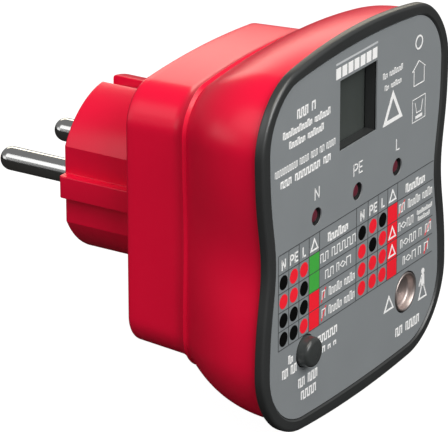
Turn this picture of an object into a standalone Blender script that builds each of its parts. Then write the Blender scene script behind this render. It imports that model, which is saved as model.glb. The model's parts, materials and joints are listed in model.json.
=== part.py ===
"""Outlet tester plug, a hand-held socket tester with a round two-pin plug and side earth contacts.

Metres, +Z up. The origin is the centre of the plug's end face, midway between the pins. +Y points
into the socket, so the printed front panel faces -Y, and +X is to the right seen from the front.
"""
import math
from collections import namedtuple

import bmesh
import bpy

# ---------------------------------------------------------------- driving dimensions
PIN_RADIUS = 0.0024
PIN_SPACING = 0.019
PIN_LENGTH = 0.019
PLUG_LENGTH = 0.0210
PLUG_RADIUS = 0.0174
BOX_DEPTH = 0.0108
BODY_DEPTH = 0.0575
WALL = 0.002
GAP = 0.0003

# Stations along Y, from the plug's end face forward to the panel
SEAT_Y = -PLUG_LENGTH
BOX_FRONT_Y = SEAT_Y - BOX_DEPTH
CREASE_Y = BOX_FRONT_Y - 0.0033
RIM_FRONT_Y = -BODY_DEPTH
RIM_BACK_Y = RIM_FRONT_Y + 0.002
SHELL_FRONT_Y = RIM_BACK_Y + GAP
FLARE_START_Y = CREASE_Y - 0.0004
PLATE_FRONT_Y = RIM_FRONT_Y + 0.0009
PLATE_BACK_Y = PLATE_FRONT_Y + 0.002
LABEL_FRONT_Y = RIM_FRONT_Y + 0.0003
LABEL_BACK_Y = PLATE_FRONT_Y - GAP
BOARD_FRONT_Y = -0.0476
BOARD_BACK_Y = -0.0460

# ---------------------------------------------------------------- body cross-sections
# Half width, top, bottom (below the pin axis), corner radii, crown of the long edges, side waist
Section = namedtuple("Section", "half top bottom r_top r_bottom crown_top crown_bottom waist")
BOX_REAR = Section(0.0256, 0.0278, 0.0267, 0.0072, 0.0064, 0.0015, 0.0005, 0.0)
BOX_FRONT = Section(0.0261, 0.0283, 0.0272, 0.0072, 0.0064, 0.0015, 0.0005, 0.0)
FLARE_FRONT = Section(0.0337, 0.0369, 0.0364, 0.0112, 0.0138, 0.0044, 0.0025, 0.0022)
RIM = Section(0.0350, 0.0382, 0.0377, 0.0120, 0.0145, 0.0044, 0.0025, 0.0022)
# The label has less crown than the rim, so the rim thins towards its corners
LABEL_EDGE = RIM._replace(r_top=0.0130, r_bottom=0.0150, crown_top=0.0026, crown_bottom=0.0013)
WAIST_Z = 0.0
WAIST_SPREAD = 0.0108
RIDGE_SHARE = 0.19
STEP_SHARE = 0.15
FLARE_POWER = 2.5
CORNER_STEPS = 5
EDGE_STEPS = 4
SIDE_STEPS = 8

# ---------------------------------------------------------------- plug
PLUG_FLAT_X = 0.0155
RIB_HALF = 0.0023
RIB_RADIUS = 0.0176
GROOVE_HALF = 0.0021
GROOVE_FLOOR_Z = 0.0146
PLUG_CHAMFER = 0.0005
PLUG_CAVITY_RADIUS = 0.0130
END_WALL = 0.003
PIN_HOLE_RADIUS = PIN_RADIUS + GAP
COLLAR_RADIUS = 0.0035
COLLAR_BACK_Y = -END_WALL - GAP
COLLAR_FRONT_Y = COLLAR_BACK_Y - 0.002
CARRIER_BACK_Y = COLLAR_FRONT_Y - GAP
CARRIER_FRONT_Y = CARRIER_BACK_Y - 0.003
PIN_INNER_Y = -0.012
CARRIER_SCREW_Z = 0.008
CARRIER_BOSS_RADIUS = 0.0028
CARRIER_THREAD_RADIUS = 0.0012
CARRIER_THREAD_END_Y = -0.0012

# ---------------------------------------------------------------- earth strip
STRIP_THICKNESS = 0.0006
STRIP_HALF_WIDTH = 0.0018
STRIP_REST_Z = GROOVE_FLOOR_Z + 0.0006
STRIP_BASE_Y = SEAT_Y - WALL - 0.0015
CARRIER_POST_Y = STRIP_BASE_Y + 0.0006

# ---------------------------------------------------------------- front panel layout (x, z)
LABEL_INSET = 0.0028
WINDOW_CENTRE = (0.0, 0.0225)
WINDOW_SIZE = (0.0139, 0.0142)
LED_SPACING = 0.0152
LED_Z = 0.0051
LED_HOLE_RADIUS = 0.0018
BUTTON_AT = (-0.0192, -0.0209)
BUTTON_HOLE_RADIUS = 0.0033
ELECTRODE_AT = (0.0193, -0.0227)
ELECTRODE_HOLE_RADIUS = 0.0043
HOUSING_SCREWS = {
    "top_left": (-0.0190, 0.0210),
    "top_right": (0.0190, 0.0210),
    "bottom_left": (-0.0095, -0.0220),
    "bottom_right": (0.0095, -0.0220),
}
BOARD_SCREWS = {"left": (-0.0240, 0.0060), "right": (0.0240, 0.0060)}
RESISTORS = {"a": (-0.0150, -0.0075), "b": (0.0150, -0.0075)}
RESISTOR_LEAD = 0.008
CAPACITOR_AT = (0.0, -0.0100)
CAPACITOR_LEAD = 0.005
FUSE_AT = (0.0, -0.0012)
FUSE_LEAD = 0.0025
LED_LEAD = 0.00127
SWITCH_LEAD = 0.0015
CHIP_AT = (0.0, 0.0180)

POST_RADIUS = 0.0036
POST_FRONT_Y = -0.0360
COUNTERBORE_RADIUS = 0.0028
COUNTERBORE_FLOOR_Y = -0.0330
CLEARANCE_RADIUS = 0.0016
BOSS_RADIUS = 0.0032
BOSS_THREAD_RADIUS = 0.0015
BOSS_THREAD_Y = -0.0480
STANDOFF_RADIUS = 0.0024
STANDOFF_THREAD_RADIUS = 0.0011
STANDOFF_THREAD_Y = -0.0530
LEAD_RADIUS = 0.0004
LEAD_HOLE_RADIUS = 0.0007
LEAD_TIP_Y = BOARD_FRONT_Y - 0.0008

# ---------------------------------------------------------------- colours: colour, roughness, metallic
FINISHES = {
    "red_plastic": ((0.62, 0.008, 0.022), 0.32, 0.0),
    "dark_plastic": ((0.045, 0.048, 0.048), 0.45, 0.0),
    "label_grey": ((0.20, 0.215, 0.23), 0.5, 0.0),
    "button_grey": ((0.055, 0.058, 0.06), 0.4, 0.0),
    "clear_window": ((0.10, 0.12, 0.11), 0.1, 0.0),
    "display_glass": ((0.05, 0.06, 0.052), 0.15, 0.0),
    "contact_strip_rubber": ((0.03, 0.03, 0.03), 0.7, 0.0),
    "lamp_red": ((0.11, 0.012, 0.02), 0.25, 0.0),
    "nickel": ((0.72, 0.71, 0.69), 0.18, 1.0),
    "spring_steel": ((0.55, 0.55, 0.55), 0.3, 1.0),
    "zinc_steel": ((0.6, 0.6, 0.58), 0.35, 1.0),
    "board_green": ((0.02, 0.16, 0.06), 0.5, 0.0),
    "black_plastic": ((0.02, 0.02, 0.02), 0.5, 0.0),
    "ceramic_white": ((0.75, 0.74, 0.70), 0.7, 0.0),
    "capacitor_yellow": ((0.65, 0.42, 0.05), 0.45, 0.0),
    "carrier_ivory": ((0.62, 0.58, 0.48), 0.5, 0.0),
    "wire_brown": ((0.16, 0.07, 0.03), 0.5, 0.0),
    "wire_blue": ((0.04, 0.12, 0.5), 0.5, 0.0),
    "wire_green_yellow": ((0.35, 0.5, 0.04), 0.5, 0.0),
}


# ---------------------------------------------------------------- scene helpers
def clear_scene():
    """Remove every object, so the model starts from an empty scene."""
    for obj in list(bpy.data.objects):
        bpy.data.objects.remove(obj, do_unlink=True)


def new_collection(name):
    """Return a new collection linked to the scene."""
    collection = bpy.data.collections.new(name)
    bpy.context.scene.collection.children.link(collection)
    return collection


def make_material(name):
    """Return the material of this finish, made on first use."""
    material = bpy.data.materials.get(name)
    if material is None:
        colour, roughness, metallic = FINISHES[name]
        material = bpy.data.materials.new(name)
        material.use_nodes = True
        shader = material.node_tree.nodes["Principled BSDF"]
        shader.inputs["Base Color"].default_value = (*colour, 1.0)
        shader.inputs["Roughness"].default_value = roughness
        shader.inputs["Metallic"].default_value = metallic
    return material


def shade(mesh, angle=35.0):
    """Smooth shading, with edges sharper than the angle kept crisp."""
    mesh.shade_smooth()
    mesh.set_sharp_from_angle(angle=math.radians(angle))


def add_part(name, mesh, finish, location=(0, 0, 0), rotation=(0, 0, 0)):
    """Put a mesh in the part's collection as one named node."""
    obj = bpy.data.objects.new(name, mesh)
    obj.location = location
    obj.rotation_euler = rotation
    if not mesh.materials:
        mesh.materials.append(make_material(finish))
    PARTS.objects.link(obj)
    return obj


def add_tool(name, mesh):
    """Put a mesh among the cutters, which aren't part of the object."""
    obj = bpy.data.objects.new(name, mesh)
    obj.hide_render = True
    obj.display_type = "WIRE"
    CUTTERS.objects.link(obj)
    return obj


def combine(target, tool_mesh, operation, name):
    """Cut or join a mesh with a Boolean modifier."""
    modifier = target.modifiers.new(name, "BOOLEAN")
    modifier.operation = operation
    modifier.solver = "EXACT"
    modifier.object = add_tool(target.name + "_" + name, tool_mesh)


def join_shapes(name, *builders):
    """Build several shapes into one mesh; each builder adds its shape to the bmesh."""
    bm = bmesh.new()
    for build in builders:
        build(bm)
    bmesh.ops.recalc_face_normals(bm, faces=bm.faces)
    mesh = bpy.data.meshes.new(name)
    bm.to_mesh(mesh)
    bm.free()
    shade(mesh)
    return mesh


# ---------------------------------------------------------------- shape builders
def rod(radius, y0, y1, x=0.0, z=0.0, segments=24):
    """A cylinder along Y."""

    def build(bm):
        made = bmesh.ops.create_cone(
            bm, cap_ends=True, segments=segments, radius1=radius, radius2=radius, depth=y1 - y0
        )
        for vert in made["verts"]:
            along = vert.co.z
            vert.co = (x + vert.co.x, (y0 + y1) / 2 + along, z - vert.co.y)

    return build


def block(x, y, z, bevel=0.0):
    """A box from (low, high) pairs, with its edges bevelled if asked."""

    def build(bm):
        made = bmesh.ops.create_cube(bm, size=1.0)
        for vert in made["verts"]:
            vert.co.x = x[0] + (vert.co.x + 0.5) * (x[1] - x[0])
            vert.co.y = y[0] + (vert.co.y + 0.5) * (y[1] - y[0])
            vert.co.z = z[0] + (vert.co.z + 0.5) * (z[1] - z[0])
        if bevel:
            edges = list({edge for vert in made["verts"] for edge in vert.link_edges})
            bmesh.ops.bevel(bm, geom=edges, offset=bevel, segments=2, affect="EDGES", profile=0.5)

    return build


def skin(rings):
    """A closed solid through rings of equal point count, capped at both ends."""

    def build(bm):
        loops = [[bm.verts.new(point) for point in ring] for ring in rings]
        count = len(loops[0])
        for near, far in zip(loops, loops[1:]):
            for k in range(count):
                after = (k + 1) % count
                bm.faces.new((near[k], near[after], far[after], far[k]))
        bm.faces.new(loops[0])
        bm.faces.new(loops[-1])

    return build


def prism(outline, y0, y1):
    """An outline of (x, z) points extruded along Y."""
    return skin([[(x, y, z) for x, z in outline] for y in (y0, y1)])


def centred_block(at, size, y, bevel=0.0):
    """A box centred at (x, z) with its sizes along X and Z, spanning y."""
    half_x, half_z = size[0] / 2, size[1] / 2
    return block((at[0] - half_x, at[0] + half_x), y, (at[1] - half_z, at[1] + half_z), bevel)


def turned(name, profile, finish, location, steps=32):
    """A turned part about its own Z, stood along world Y; the profile runs from its +Y end down."""
    mesh = bpy.data.meshes.new(name)
    points = [(radius, 0.0, height) for radius, height in profile]
    mesh.from_pydata(points, [(k, k + 1) for k in range(len(points) - 1)], [])
    obj = add_part(name, mesh, finish, location, (-math.pi / 2, 0.0, 0.0))
    screw = obj.modifiers.new("turn", "SCREW")
    screw.axis = "Z"
    screw.angle = 2 * math.pi
    screw.steps = steps
    screw.render_steps = steps
    screw.use_merge_vertices = True
    screw.merge_threshold = 0.00001
    screw.use_smooth_shade = True
    return obj


def tube(name, points, radius, finish):
    """A wire along the points."""
    curve = bpy.data.curves.new(name, "CURVE")
    curve.dimensions = "3D"
    curve.bevel_depth = radius
    curve.bevel_resolution = 1
    curve.use_fill_caps = True
    spline = curve.splines.new("POLY")
    spline.points.add(len(points) - 1)
    for spline_point, point in zip(spline.points, points):
        spline_point.co = (*point, 1.0)
    curve.materials.append(make_material(finish))
    obj = bpy.data.objects.new(name, curve)
    PARTS.objects.link(obj)
    return obj


def arc(centre, radius, start_deg, end_deg, steps):
    """Points on an arc, both ends included."""
    angles = [start_deg + (end_deg - start_deg) * k / steps for k in range(steps + 1)]
    return [
        (centre[0] + radius * math.cos(math.radians(a)), centre[1] + radius * math.sin(math.radians(a)))
        for a in angles
    ]


# ---------------------------------------------------------------- body outline and profile
def mix(first, second, share):
    """The section this share of the way from one section to another."""
    return Section(*[a + (b - a) * share for a, b in zip(first, second)])


def between(start, end, count):
    """Points strictly between two ends, evenly spaced."""
    shares = [k / count for k in range(1, count)]
    return [(start[0] + (end[0] - start[0]) * s, start[1] + (end[1] - start[1]) * s) for s in shares]


def outline(section, inset=0.0):
    """The section's outline as (x, z) points, anticlockwise from its right side, moved inward."""
    half, top, bottom = section.half - inset, section.top - inset, -(section.bottom - inset)
    r_top, r_bottom = section.r_top - inset, section.r_bottom - inset
    corners = [
        arc((half - r_top, top - r_top), r_top, 0, 90, CORNER_STEPS),
        arc((r_top - half, top - r_top), r_top, 90, 180, CORNER_STEPS),
        arc((r_bottom - half, bottom + r_bottom), r_bottom, 180, 270, CORNER_STEPS),
        arc((half - r_bottom, bottom + r_bottom), r_bottom, 270, 360, CORNER_STEPS),
    ]
    counts = (EDGE_STEPS, SIDE_STEPS, EDGE_STEPS, SIDE_STEPS)
    points = []
    for k, corner in enumerate(corners):
        points += corner + between(corner[-1], corners[(k + 1) % 4][0], counts[k])
    return [shaped(x, z, section, half, top - r_top, bottom + r_bottom) for x, z in points]


def shaped(x, z, section, half, upper, lower):
    """Crown the long edges and pull the waist in."""
    across = (x / half) ** 2
    if z > 0:
        z -= section.crown_top * across * min(z / upper, 1.0)
    else:
        z += section.crown_bottom * across * min(z / lower, 1.0)
    pull = section.waist / half * math.exp(-(((z - WAIST_Z) / WAIST_SPREAD) ** 2))
    return x * (1 - pull), z


def body_section(y):
    """The housing's cross-section at a station between the seat and the shell's front."""
    if y >= BOX_FRONT_Y:
        return mix(BOX_REAR, BOX_FRONT, (SEAT_Y - y) / BOX_DEPTH)
    if y >= CREASE_Y:
        along = (BOX_FRONT_Y - y) / (BOX_FRONT_Y - CREASE_Y)
        return mix(BOX_FRONT, FLARE_FRONT, RIDGE_SHARE * along**2)
    along = max(FLARE_START_Y - y, 0.0) / (FLARE_START_Y - SHELL_FRONT_Y)
    flare = 1 - (1 - along) ** FLARE_POWER
    return mix(BOX_FRONT, FLARE_FRONT, STEP_SHARE + (1 - STEP_SHARE) * flare)


def ring(section, y, inset=0.0):
    """The section's outline as 3-D points at a station."""
    return [(x, y, z) for x, z in outline(section, inset)]


# ---------------------------------------------------------------- housing shell
def shell_rings():
    """Rings from the seating face forward over the outside, then back over the inside."""
    edge = 0.0008
    rings = [ring(BOX_REAR, SEAT_Y, edge), ring(BOX_REAR, SEAT_Y - edge * 0.3, edge * 0.3)]
    rings.append(ring(body_section(SEAT_Y - edge), SEAT_Y - edge))
    step = (BOX_FRONT_Y - CREASE_Y) / 2
    stations = [BOX_FRONT_Y - step * k for k in range(3)]
    flare = FLARE_START_Y - SHELL_FRONT_Y
    stations += [FLARE_START_Y - flare * (k / 6) ** 1.3 for k in range(7)]
    rings += [ring(body_section(y), y) for y in stations]
    rings += [ring(body_section(y), y, WALL) for y in reversed(stations[3:])]
    inner_rear = SEAT_Y - WALL
    rings.append(ring(BOX_FRONT, BOX_FRONT_Y, WALL))
    rings.append(ring(body_section(inner_rear), inner_rear, WALL))
    return rings


def plug_outline():
    """The plug body's outline: round top and bottom with grooves, flat sides with guide ribs."""
    flat_angle = math.degrees(math.acos(PLUG_FLAT_X / PLUG_RADIUS))
    groove_angle = math.degrees(math.acos(GROOVE_HALF / PLUG_RADIUS))
    rib_x = math.sqrt(RIB_RADIUS**2 - RIB_HALF**2)
    quarter = [(RIB_RADIUS, 0.0), (rib_x, RIB_HALF), (PLUG_FLAT_X, RIB_HALF)]
    quarter += arc((0, 0), PLUG_RADIUS, flat_angle, groove_angle, 6)
    quarter.append((GROOVE_HALF, GROOVE_FLOOR_Z))
    half = quarter + [(-x, z) for x, z in reversed(quarter[1:])]
    return half + [(-x, -z) for x, z in half]


def plug_body(bm):
    """The solid plug body, with its end edge chamfered."""
    points = plug_outline()
    small = 1 - PLUG_CHAMFER / PLUG_RADIUS
    root = SEAT_Y - WALL / 2
    rings = [[(x * small, 0.0, z * small) for x, z in points]]
    rings += [[(x, y, z) for x, z in points] for y in (-PLUG_CHAMFER, root)]
    skin(rings)(bm)


def make_housing_shell():
    """The red shell: plug body, rear box and flared front in one moulding, open at the front."""
    shell = add_part("housing_shell", join_shapes("housing_shell", skin(shell_rings())), "red_plastic")
    combine(shell, join_shapes("plug_body", plug_body), "UNION", "plug_body")
    inner_rear = SEAT_Y - WALL
    combine(
        shell,
        join_shapes("plug_cavity", rod(PLUG_CAVITY_RADIUS, inner_rear - 0.001, -END_WALL, segments=24)),
        "DIFFERENCE",
        "plug_cavity",
    )
    posts = [
        rod(POST_RADIUS, POST_FRONT_Y, SEAT_Y - WALL / 2, x, z, 14) for x, z in HOUSING_SCREWS.values()
    ]
    carrier_bosses = [
        rod(CARRIER_BOSS_RADIUS, COLLAR_FRONT_Y, -END_WALL / 2, 0.0, z, 12)
        for z in (CARRIER_SCREW_Z, -CARRIER_SCREW_Z)
    ]
    combine(shell, join_shapes("shell_posts", *posts, *carrier_bosses), "UNION", "posts")
    bores = []
    for x, z in HOUSING_SCREWS.values():
        bores.append(rod(COUNTERBORE_RADIUS, COUNTERBORE_FLOOR_Y, SEAT_Y + 0.001, x, z, 14))
    for x in (-PIN_SPACING / 2, PIN_SPACING / 2):
        bores.append(rod(PIN_HOLE_RADIUS, -END_WALL - 0.001, 0.001, x, 0.0, 18))
    for z in (CARRIER_SCREW_Z, -CARRIER_SCREW_Z):
        bores.append(
            rod(CARRIER_THREAD_RADIUS, COLLAR_FRONT_Y - 0.001, CARRIER_THREAD_END_Y, 0.0, z, 8)
        )
    for side in (1, -1):
        low, high = sorted((side * (GROOVE_FLOOR_Z + 0.0002), side * (GROOVE_FLOOR_Z + 0.0015)))
        bores.append(
            block((-GROOVE_HALF, GROOVE_HALF), (inner_rear - 0.001, SEAT_Y + 0.0005), (low, high))
        )
    combine(shell, join_shapes("shell_bores", *bores), "DIFFERENCE", "bores")
    clearance = [
        rod(CLEARANCE_RADIUS, POST_FRONT_Y - 0.001, COUNTERBORE_FLOOR_Y + 0.001, x, z, 10)
        for x, z in HOUSING_SCREWS.values()
    ]
    combine(shell, join_shapes("screw_clearance", *clearance), "DIFFERENCE", "clearance")


# ---------------------------------------------------------------- front cover and label
def make_front_cover():
    """The dark lid: a rounded rim with a recess for the label, a locating lip and inside bosses."""
    recess, bevel = LABEL_INSET, 0.0003
    lip_out, lip_in = 0.0042, 0.0052
    rings = [
        ring(LABEL_EDGE, PLATE_FRONT_Y, recess),
        ring(LABEL_EDGE, RIM_FRONT_Y + bevel, recess),
        ring(LABEL_EDGE, RIM_FRONT_Y, recess - bevel),
    ]
    profile = [
        (0.0008, RIM_FRONT_Y),
        (0.0003, RIM_FRONT_Y + 0.0001),
        (0.0, RIM_FRONT_Y + 0.0005),
        (0.0, RIM_BACK_Y - 0.0004),
        (0.0004, RIM_BACK_Y),
        (lip_out, RIM_BACK_Y),
        (lip_out, RIM_BACK_Y + 0.0025),
        (lip_in, RIM_BACK_Y + 0.0025),
        (lip_in, PLATE_BACK_Y),
    ]
    rings += [ring(RIM, y, inset) for inset, y in profile]
    cover = add_part("front_cover", join_shapes("front_cover", skin(rings)), "dark_plastic")
    root = PLATE_BACK_Y - 0.001
    bosses = [rod(BOSS_RADIUS, root, POST_FRONT_Y - GAP, x, z, 14) for x, z in HOUSING_SCREWS.values()]
    bosses += [
        rod(STANDOFF_RADIUS, root, BOARD_FRONT_Y - GAP, x, z, 12) for x, z in BOARD_SCREWS.values()
    ]
    combine(cover, join_shapes("cover_bosses", *bosses), "UNION", "bosses")
    combine(cover, guide_tube(root), "UNION", "button_guide")
    holes = panel_openings((RIM_FRONT_Y, PLATE_BACK_Y + 0.001))
    for x, z in HOUSING_SCREWS.values():
        holes.append(rod(BOSS_THREAD_RADIUS, BOSS_THREAD_Y, POST_FRONT_Y + 0.001, x, z, 8))
    for x, z in BOARD_SCREWS.values():
        holes.append(rod(STANDOFF_THREAD_RADIUS, STANDOFF_THREAD_Y, BOARD_FRONT_Y + 0.001, x, z, 8))
    combine(cover, join_shapes("cover_holes", *holes), "DIFFERENCE", "holes")


def panel_openings(through):
    """Cutters for the window, lamps, button and touch electrode, spanning the given Y range."""
    holes = [centred_block(WINDOW_CENTRE, WINDOW_SIZE, through)]
    for k in (-1, 0, 1):
        holes.append(rod(LED_HOLE_RADIUS, *through, k * LED_SPACING, LED_Z, 16))
    holes.append(rod(BUTTON_HOLE_RADIUS, *through, *BUTTON_AT, 20))
    holes.append(rod(ELECTRODE_HOLE_RADIUS, *through, *ELECTRODE_AT, 24))
    return holes


def guide_tube(root):
    """The collar behind the panel that guides the button's flange and its spring."""
    end = -0.0505
    outer, inner = 0.0054, 0.0047
    loops = []
    for radius, y in ((inner, root), (outer, root), (outer, end), (inner, end)):
        loops.append([(BUTTON_AT[0] + x, y, BUTTON_AT[1] + z) for x, z in arc((0, 0), radius, 0, 340, 17)])

    def build(bm):
        rings = [[bm.verts.new(point) for point in loop] for loop in loops]
        count = len(rings[0])
        for near, far in zip(rings, rings[1:] + rings[:1]):
            for k in range(count):
                after = (k + 1) % count
                bm.faces.new((near[k], near[after], far[after], far[k]))

    return join_shapes("guide_tube", build)


def make_front_label():
    """The grey overlay, with openings for the window, lamps, button and touch electrode."""
    body = prism(outline(LABEL_EDGE, LABEL_INSET + GAP), LABEL_FRONT_Y, LABEL_BACK_Y)
    label = add_part("front_label", join_shapes("front_label", body), "label_grey")
    holes = panel_openings((LABEL_FRONT_Y - 0.001, LABEL_BACK_Y + 0.001))
    combine(label, join_shapes("label_holes", *holes), "DIFFERENCE", "holes")


# ---------------------------------------------------------------- display
def make_display():
    """Window lens, glass and contact strip, held square in a frame behind the window."""
    lens_y = (PLATE_BACK_Y + GAP, PLATE_BACK_Y + GAP + 0.0008)
    glass_y = (lens_y[1] + GAP, lens_y[1] + GAP + 0.0018)
    back_y = BOARD_FRONT_Y - GAP
    glass_size = (0.0170, 0.0164)
    lens = join_shapes("window_lens", centred_block(WINDOW_CENTRE, glass_size, lens_y, 0.0002))
    add_part("window_lens", lens, "clear_window")
    glass = join_shapes("display_glass", centred_block(WINDOW_CENTRE, glass_size, glass_y, 0.0002))
    add_part("display_glass", glass, "display_glass")
    outer = centred_block(WINDOW_CENTRE, (0.0190, 0.0184), (lens_y[0], back_y))
    frame = add_part("display_frame", join_shapes("display_frame", outer), "black_plastic")
    pocket_y = (lens_y[0] - 0.001, glass_y[1] + GAP)
    pocket = centred_block(WINDOW_CENTRE, (0.0176, 0.0170), pocket_y)
    combine(frame, join_shapes("frame_pocket", pocket), "DIFFERENCE", "pocket")
    throat = centred_block(WINDOW_CENTRE, (0.0156, 0.0150), (pocket_y[1] - 0.001, back_y + 0.001))
    combine(frame, join_shapes("frame_throat", throat), "DIFFERENCE", "throat")
    strip_at = (WINDOW_CENTRE[0], WINDOW_CENTRE[1] - 0.0065)
    strip = centred_block(strip_at, (0.0146, 0.0014), (glass_y[1] + GAP, back_y))
    add_part("display_connector", join_shapes("display_connector", strip), "contact_strip_rubber")


# ---------------------------------------------------------------- lamps
def make_lamps():
    """Three round lamps whose domes stand in the panel's holes."""
    tip, shoulder, flange, foot = -0.0568, -0.0558, -0.0530, -0.0523
    for k, name in ((-1, "led_n"), (0, "led_pe"), (1, "led_l")):
        dome = [
            (0.0015 * math.cos(a), (tip - shoulder) * math.sin(a))
            for a in (math.radians(22.5 * step) for step in range(5))
        ]
        profile = [(0.0, foot), (0.0019, foot), (0.0019, flange), (0.0015, flange), (0.0015, shoulder)]
        profile += [(radius, shoulder + height) for radius, height in dome[1:4]]
        profile.append((0.0, tip))
        lamp = turned(name, profile, "lamp_red", (k * LED_SPACING, 0.0, LED_Z), 14)
        leads = [
            rod(LEAD_RADIUS, foot - 0.0005, -0.0454, side * LED_LEAD, 0.0, 6) for side in (-1, 1)
        ]
        mesh = join_shapes(name + "_leads", *leads)
        tool = add_tool(name + "_leads", mesh)
        tool.location = lamp.location
        modifier = lamp.modifiers.new("leads", "BOOLEAN")
        modifier.operation = "UNION"
        modifier.solver = "EXACT"
        modifier.object = tool


# ---------------------------------------------------------------- button and switch
def make_button():
    """The push button, its return spring and the momentary switch it works."""
    x, z = BUTTON_AT
    face = -0.0596
    cap_radius = 0.0031
    flange_front, flange_back = PLATE_BACK_Y + GAP, PLATE_BACK_Y + GAP + 0.001
    profile = [
        (0.0, -0.0529),
        (0.0015, -0.0529),
        (0.0015, flange_back),
        (0.0044, flange_back),
        (0.0044, flange_front),
        (cap_radius, flange_front),
        (cap_radius, face + 0.0009),
        (cap_radius - 0.0001, face + 0.0005),
        (cap_radius - 0.0004, face + 0.0002),
        (cap_radius - 0.0008, face + 0.00005),
        (0.0010, face - 0.00005),
        (0.0, face - 0.0001),
    ]
    turned("test_button", profile, "button_grey", (x, 0.0, z), 24)

    spring_start, spring_end = flange_back + GAP, BOARD_FRONT_Y - GAP
    wire = 0.00025
    coil("button_spring", BUTTON_AT, spring_start + wire, spring_end - wire, 0.0035, wire, 4)

    body_front = -0.0514
    body = join_shapes("switch_body", rod(0.0026, body_front, BOARD_FRONT_Y - GAP, x, z, 16))
    switch = add_part("switch_body", body, "black_plastic")
    leads = [rod(LEAD_RADIUS, -0.0484, -0.0454, x + side * SWITCH_LEAD, z, 6) for side in (-1, 1)]
    combine(switch, join_shapes("switch_leads", *leads), "UNION", "leads")
    well = rod(0.0016, body_front - 0.001, -0.0489, x, z, 14)
    combine(switch, join_shapes("switch_well", well), "DIFFERENCE", "well")
    turned(
        "switch_plunger",
        [(0.0, -0.0504), (0.0013, -0.0504), (0.0013, -0.0525), (0.0012, -0.0526), (0.0, -0.0526)],
        "carrier_ivory",
        (x, 0.0, z),
        14,
    )


def coil(name, at, y0, y1, radius, wire, turns):
    """A helical compression spring along Y."""
    per_turn = 9
    total = turns * per_turn
    points = []
    for k in range(total + 1):
        angle = 2 * math.pi * k / per_turn
        share = k / total
        points.append(
            (at[0] + radius * math.cos(angle), y0 + (y1 - y0) * share, at[1] + radius * math.sin(angle))
        )
    tube(name, points, wire, "spring_steel")


# ---------------------------------------------------------------- touch electrode
def make_touch_electrode():
    """The metal touch cup in the panel, and the spring that joins it to the board."""
    x, z = ELECTRODE_AT
    front, floor, back = -0.0573, -0.0558, -0.0535
    profile = [
        (0.0, back),
        (0.0050, back),
        (0.0050, PLATE_BACK_Y + GAP),
        (0.0040, PLATE_BACK_Y + GAP),
        (0.0040, front + 0.0002),
        (0.0038, front),
        (0.0036, front),
        (0.0034, front + 0.0003),
        (0.0034, floor - 0.0003),
        (0.0031, floor),
        (0.0, floor + 0.0001),
    ]
    turned("touch_electrode", profile, "nickel", (x, 0.0, z), 24)
    wire = 0.00025
    coil("electrode_spring", ELECTRODE_AT, back + GAP + wire, BOARD_FRONT_Y - GAP - wire, 0.0018, wire, 3)


# ---------------------------------------------------------------- circuit board
def board_lead_holes():
    """Centres of every lead hole in the board."""
    spots = [(k * LED_SPACING + side * LED_LEAD, LED_Z) for k in (-1, 0, 1) for side in (-1, 1)]
    spots += [(BUTTON_AT[0] + side * SWITCH_LEAD, BUTTON_AT[1]) for side in (-1, 1)]
    spots += [(x, z + side * RESISTOR_LEAD) for x, z in RESISTORS.values() for side in (-1, 1)]
    spots += [(CAPACITOR_AT[0] + side * CAPACITOR_LEAD, CAPACITOR_AT[1]) for side in (-1, 1)]
    spots += [(FUSE_AT[0] + side * FUSE_LEAD, FUSE_AT[1]) for side in (-1, 1)]
    return spots


def make_main_board():
    """The circuit board, cleared round the cover's bosses."""
    half, top, bottom, radius = 0.0270, 0.0290, 0.0300, 0.010
    edge = []
    for cx, cz, start in (
        (half - radius, top - radius, 0),
        (radius - half, top - radius, 90),
        (radius - half, radius - bottom, 180),
        (half - radius, radius - bottom, 270),
    ):
        edge += arc((cx, cz), radius, start, start + 90, 5)
    board = add_part(
        "main_board", join_shapes("main_board", prism(edge, BOARD_FRONT_Y, BOARD_BACK_Y)), "board_green"
    )
    through = (BOARD_FRONT_Y - 0.001, BOARD_BACK_Y + 0.001)
    holes = [rod(BOSS_RADIUS + 0.0004, *through, x, z, 14) for x, z in HOUSING_SCREWS.values()]
    holes += [rod(0.0013, *through, x, z, 10) for x, z in BOARD_SCREWS.values()]
    holes += [rod(LEAD_HOLE_RADIUS, *through, x, z, 7) for x, z in board_lead_holes()]
    combine(board, join_shapes("board_holes", *holes), "DIFFERENCE", "holes")


def leaded(name, body, finish, spots):
    """A component on the board's back, its leads passing through the board."""
    part = add_part(name, join_shapes(name, body), finish)
    leads = [rod(LEAD_RADIUS, LEAD_TIP_Y, BOARD_BACK_Y + 0.0013, x, z, 6) for x, z in spots]
    combine(part, join_shapes(name + "_leads", *leads), "UNION", "leads")


def make_components():
    """Test-load resistors, supply capacitor, fuse and controller chip."""
    base = BOARD_BACK_Y + GAP
    for key, (x, z) in RESISTORS.items():
        body = centred_block((x, z), (0.008, 0.022), (base, base + 0.008), 0.0006)
        spots = [(x, z + side * RESISTOR_LEAD) for side in (-1, 1)]
        leaded("load_resistor_" + key, body, "ceramic_white", spots)
    body = centred_block(CAPACITOR_AT, (0.014, 0.007), (base, base + 0.012), 0.0008)
    spots = [(CAPACITOR_AT[0] + side * CAPACITOR_LEAD, CAPACITOR_AT[1]) for side in (-1, 1)]
    leaded("supply_capacitor", body, "capacitor_yellow", spots)
    body = rod(0.0042, base, base + 0.007, *FUSE_AT, 16)
    spots = [(FUSE_AT[0] + side * FUSE_LEAD, FUSE_AT[1]) for side in (-1, 1)]
    leaded("fuse", body, "black_plastic", spots)
    make_controller_chip(base)


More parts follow.
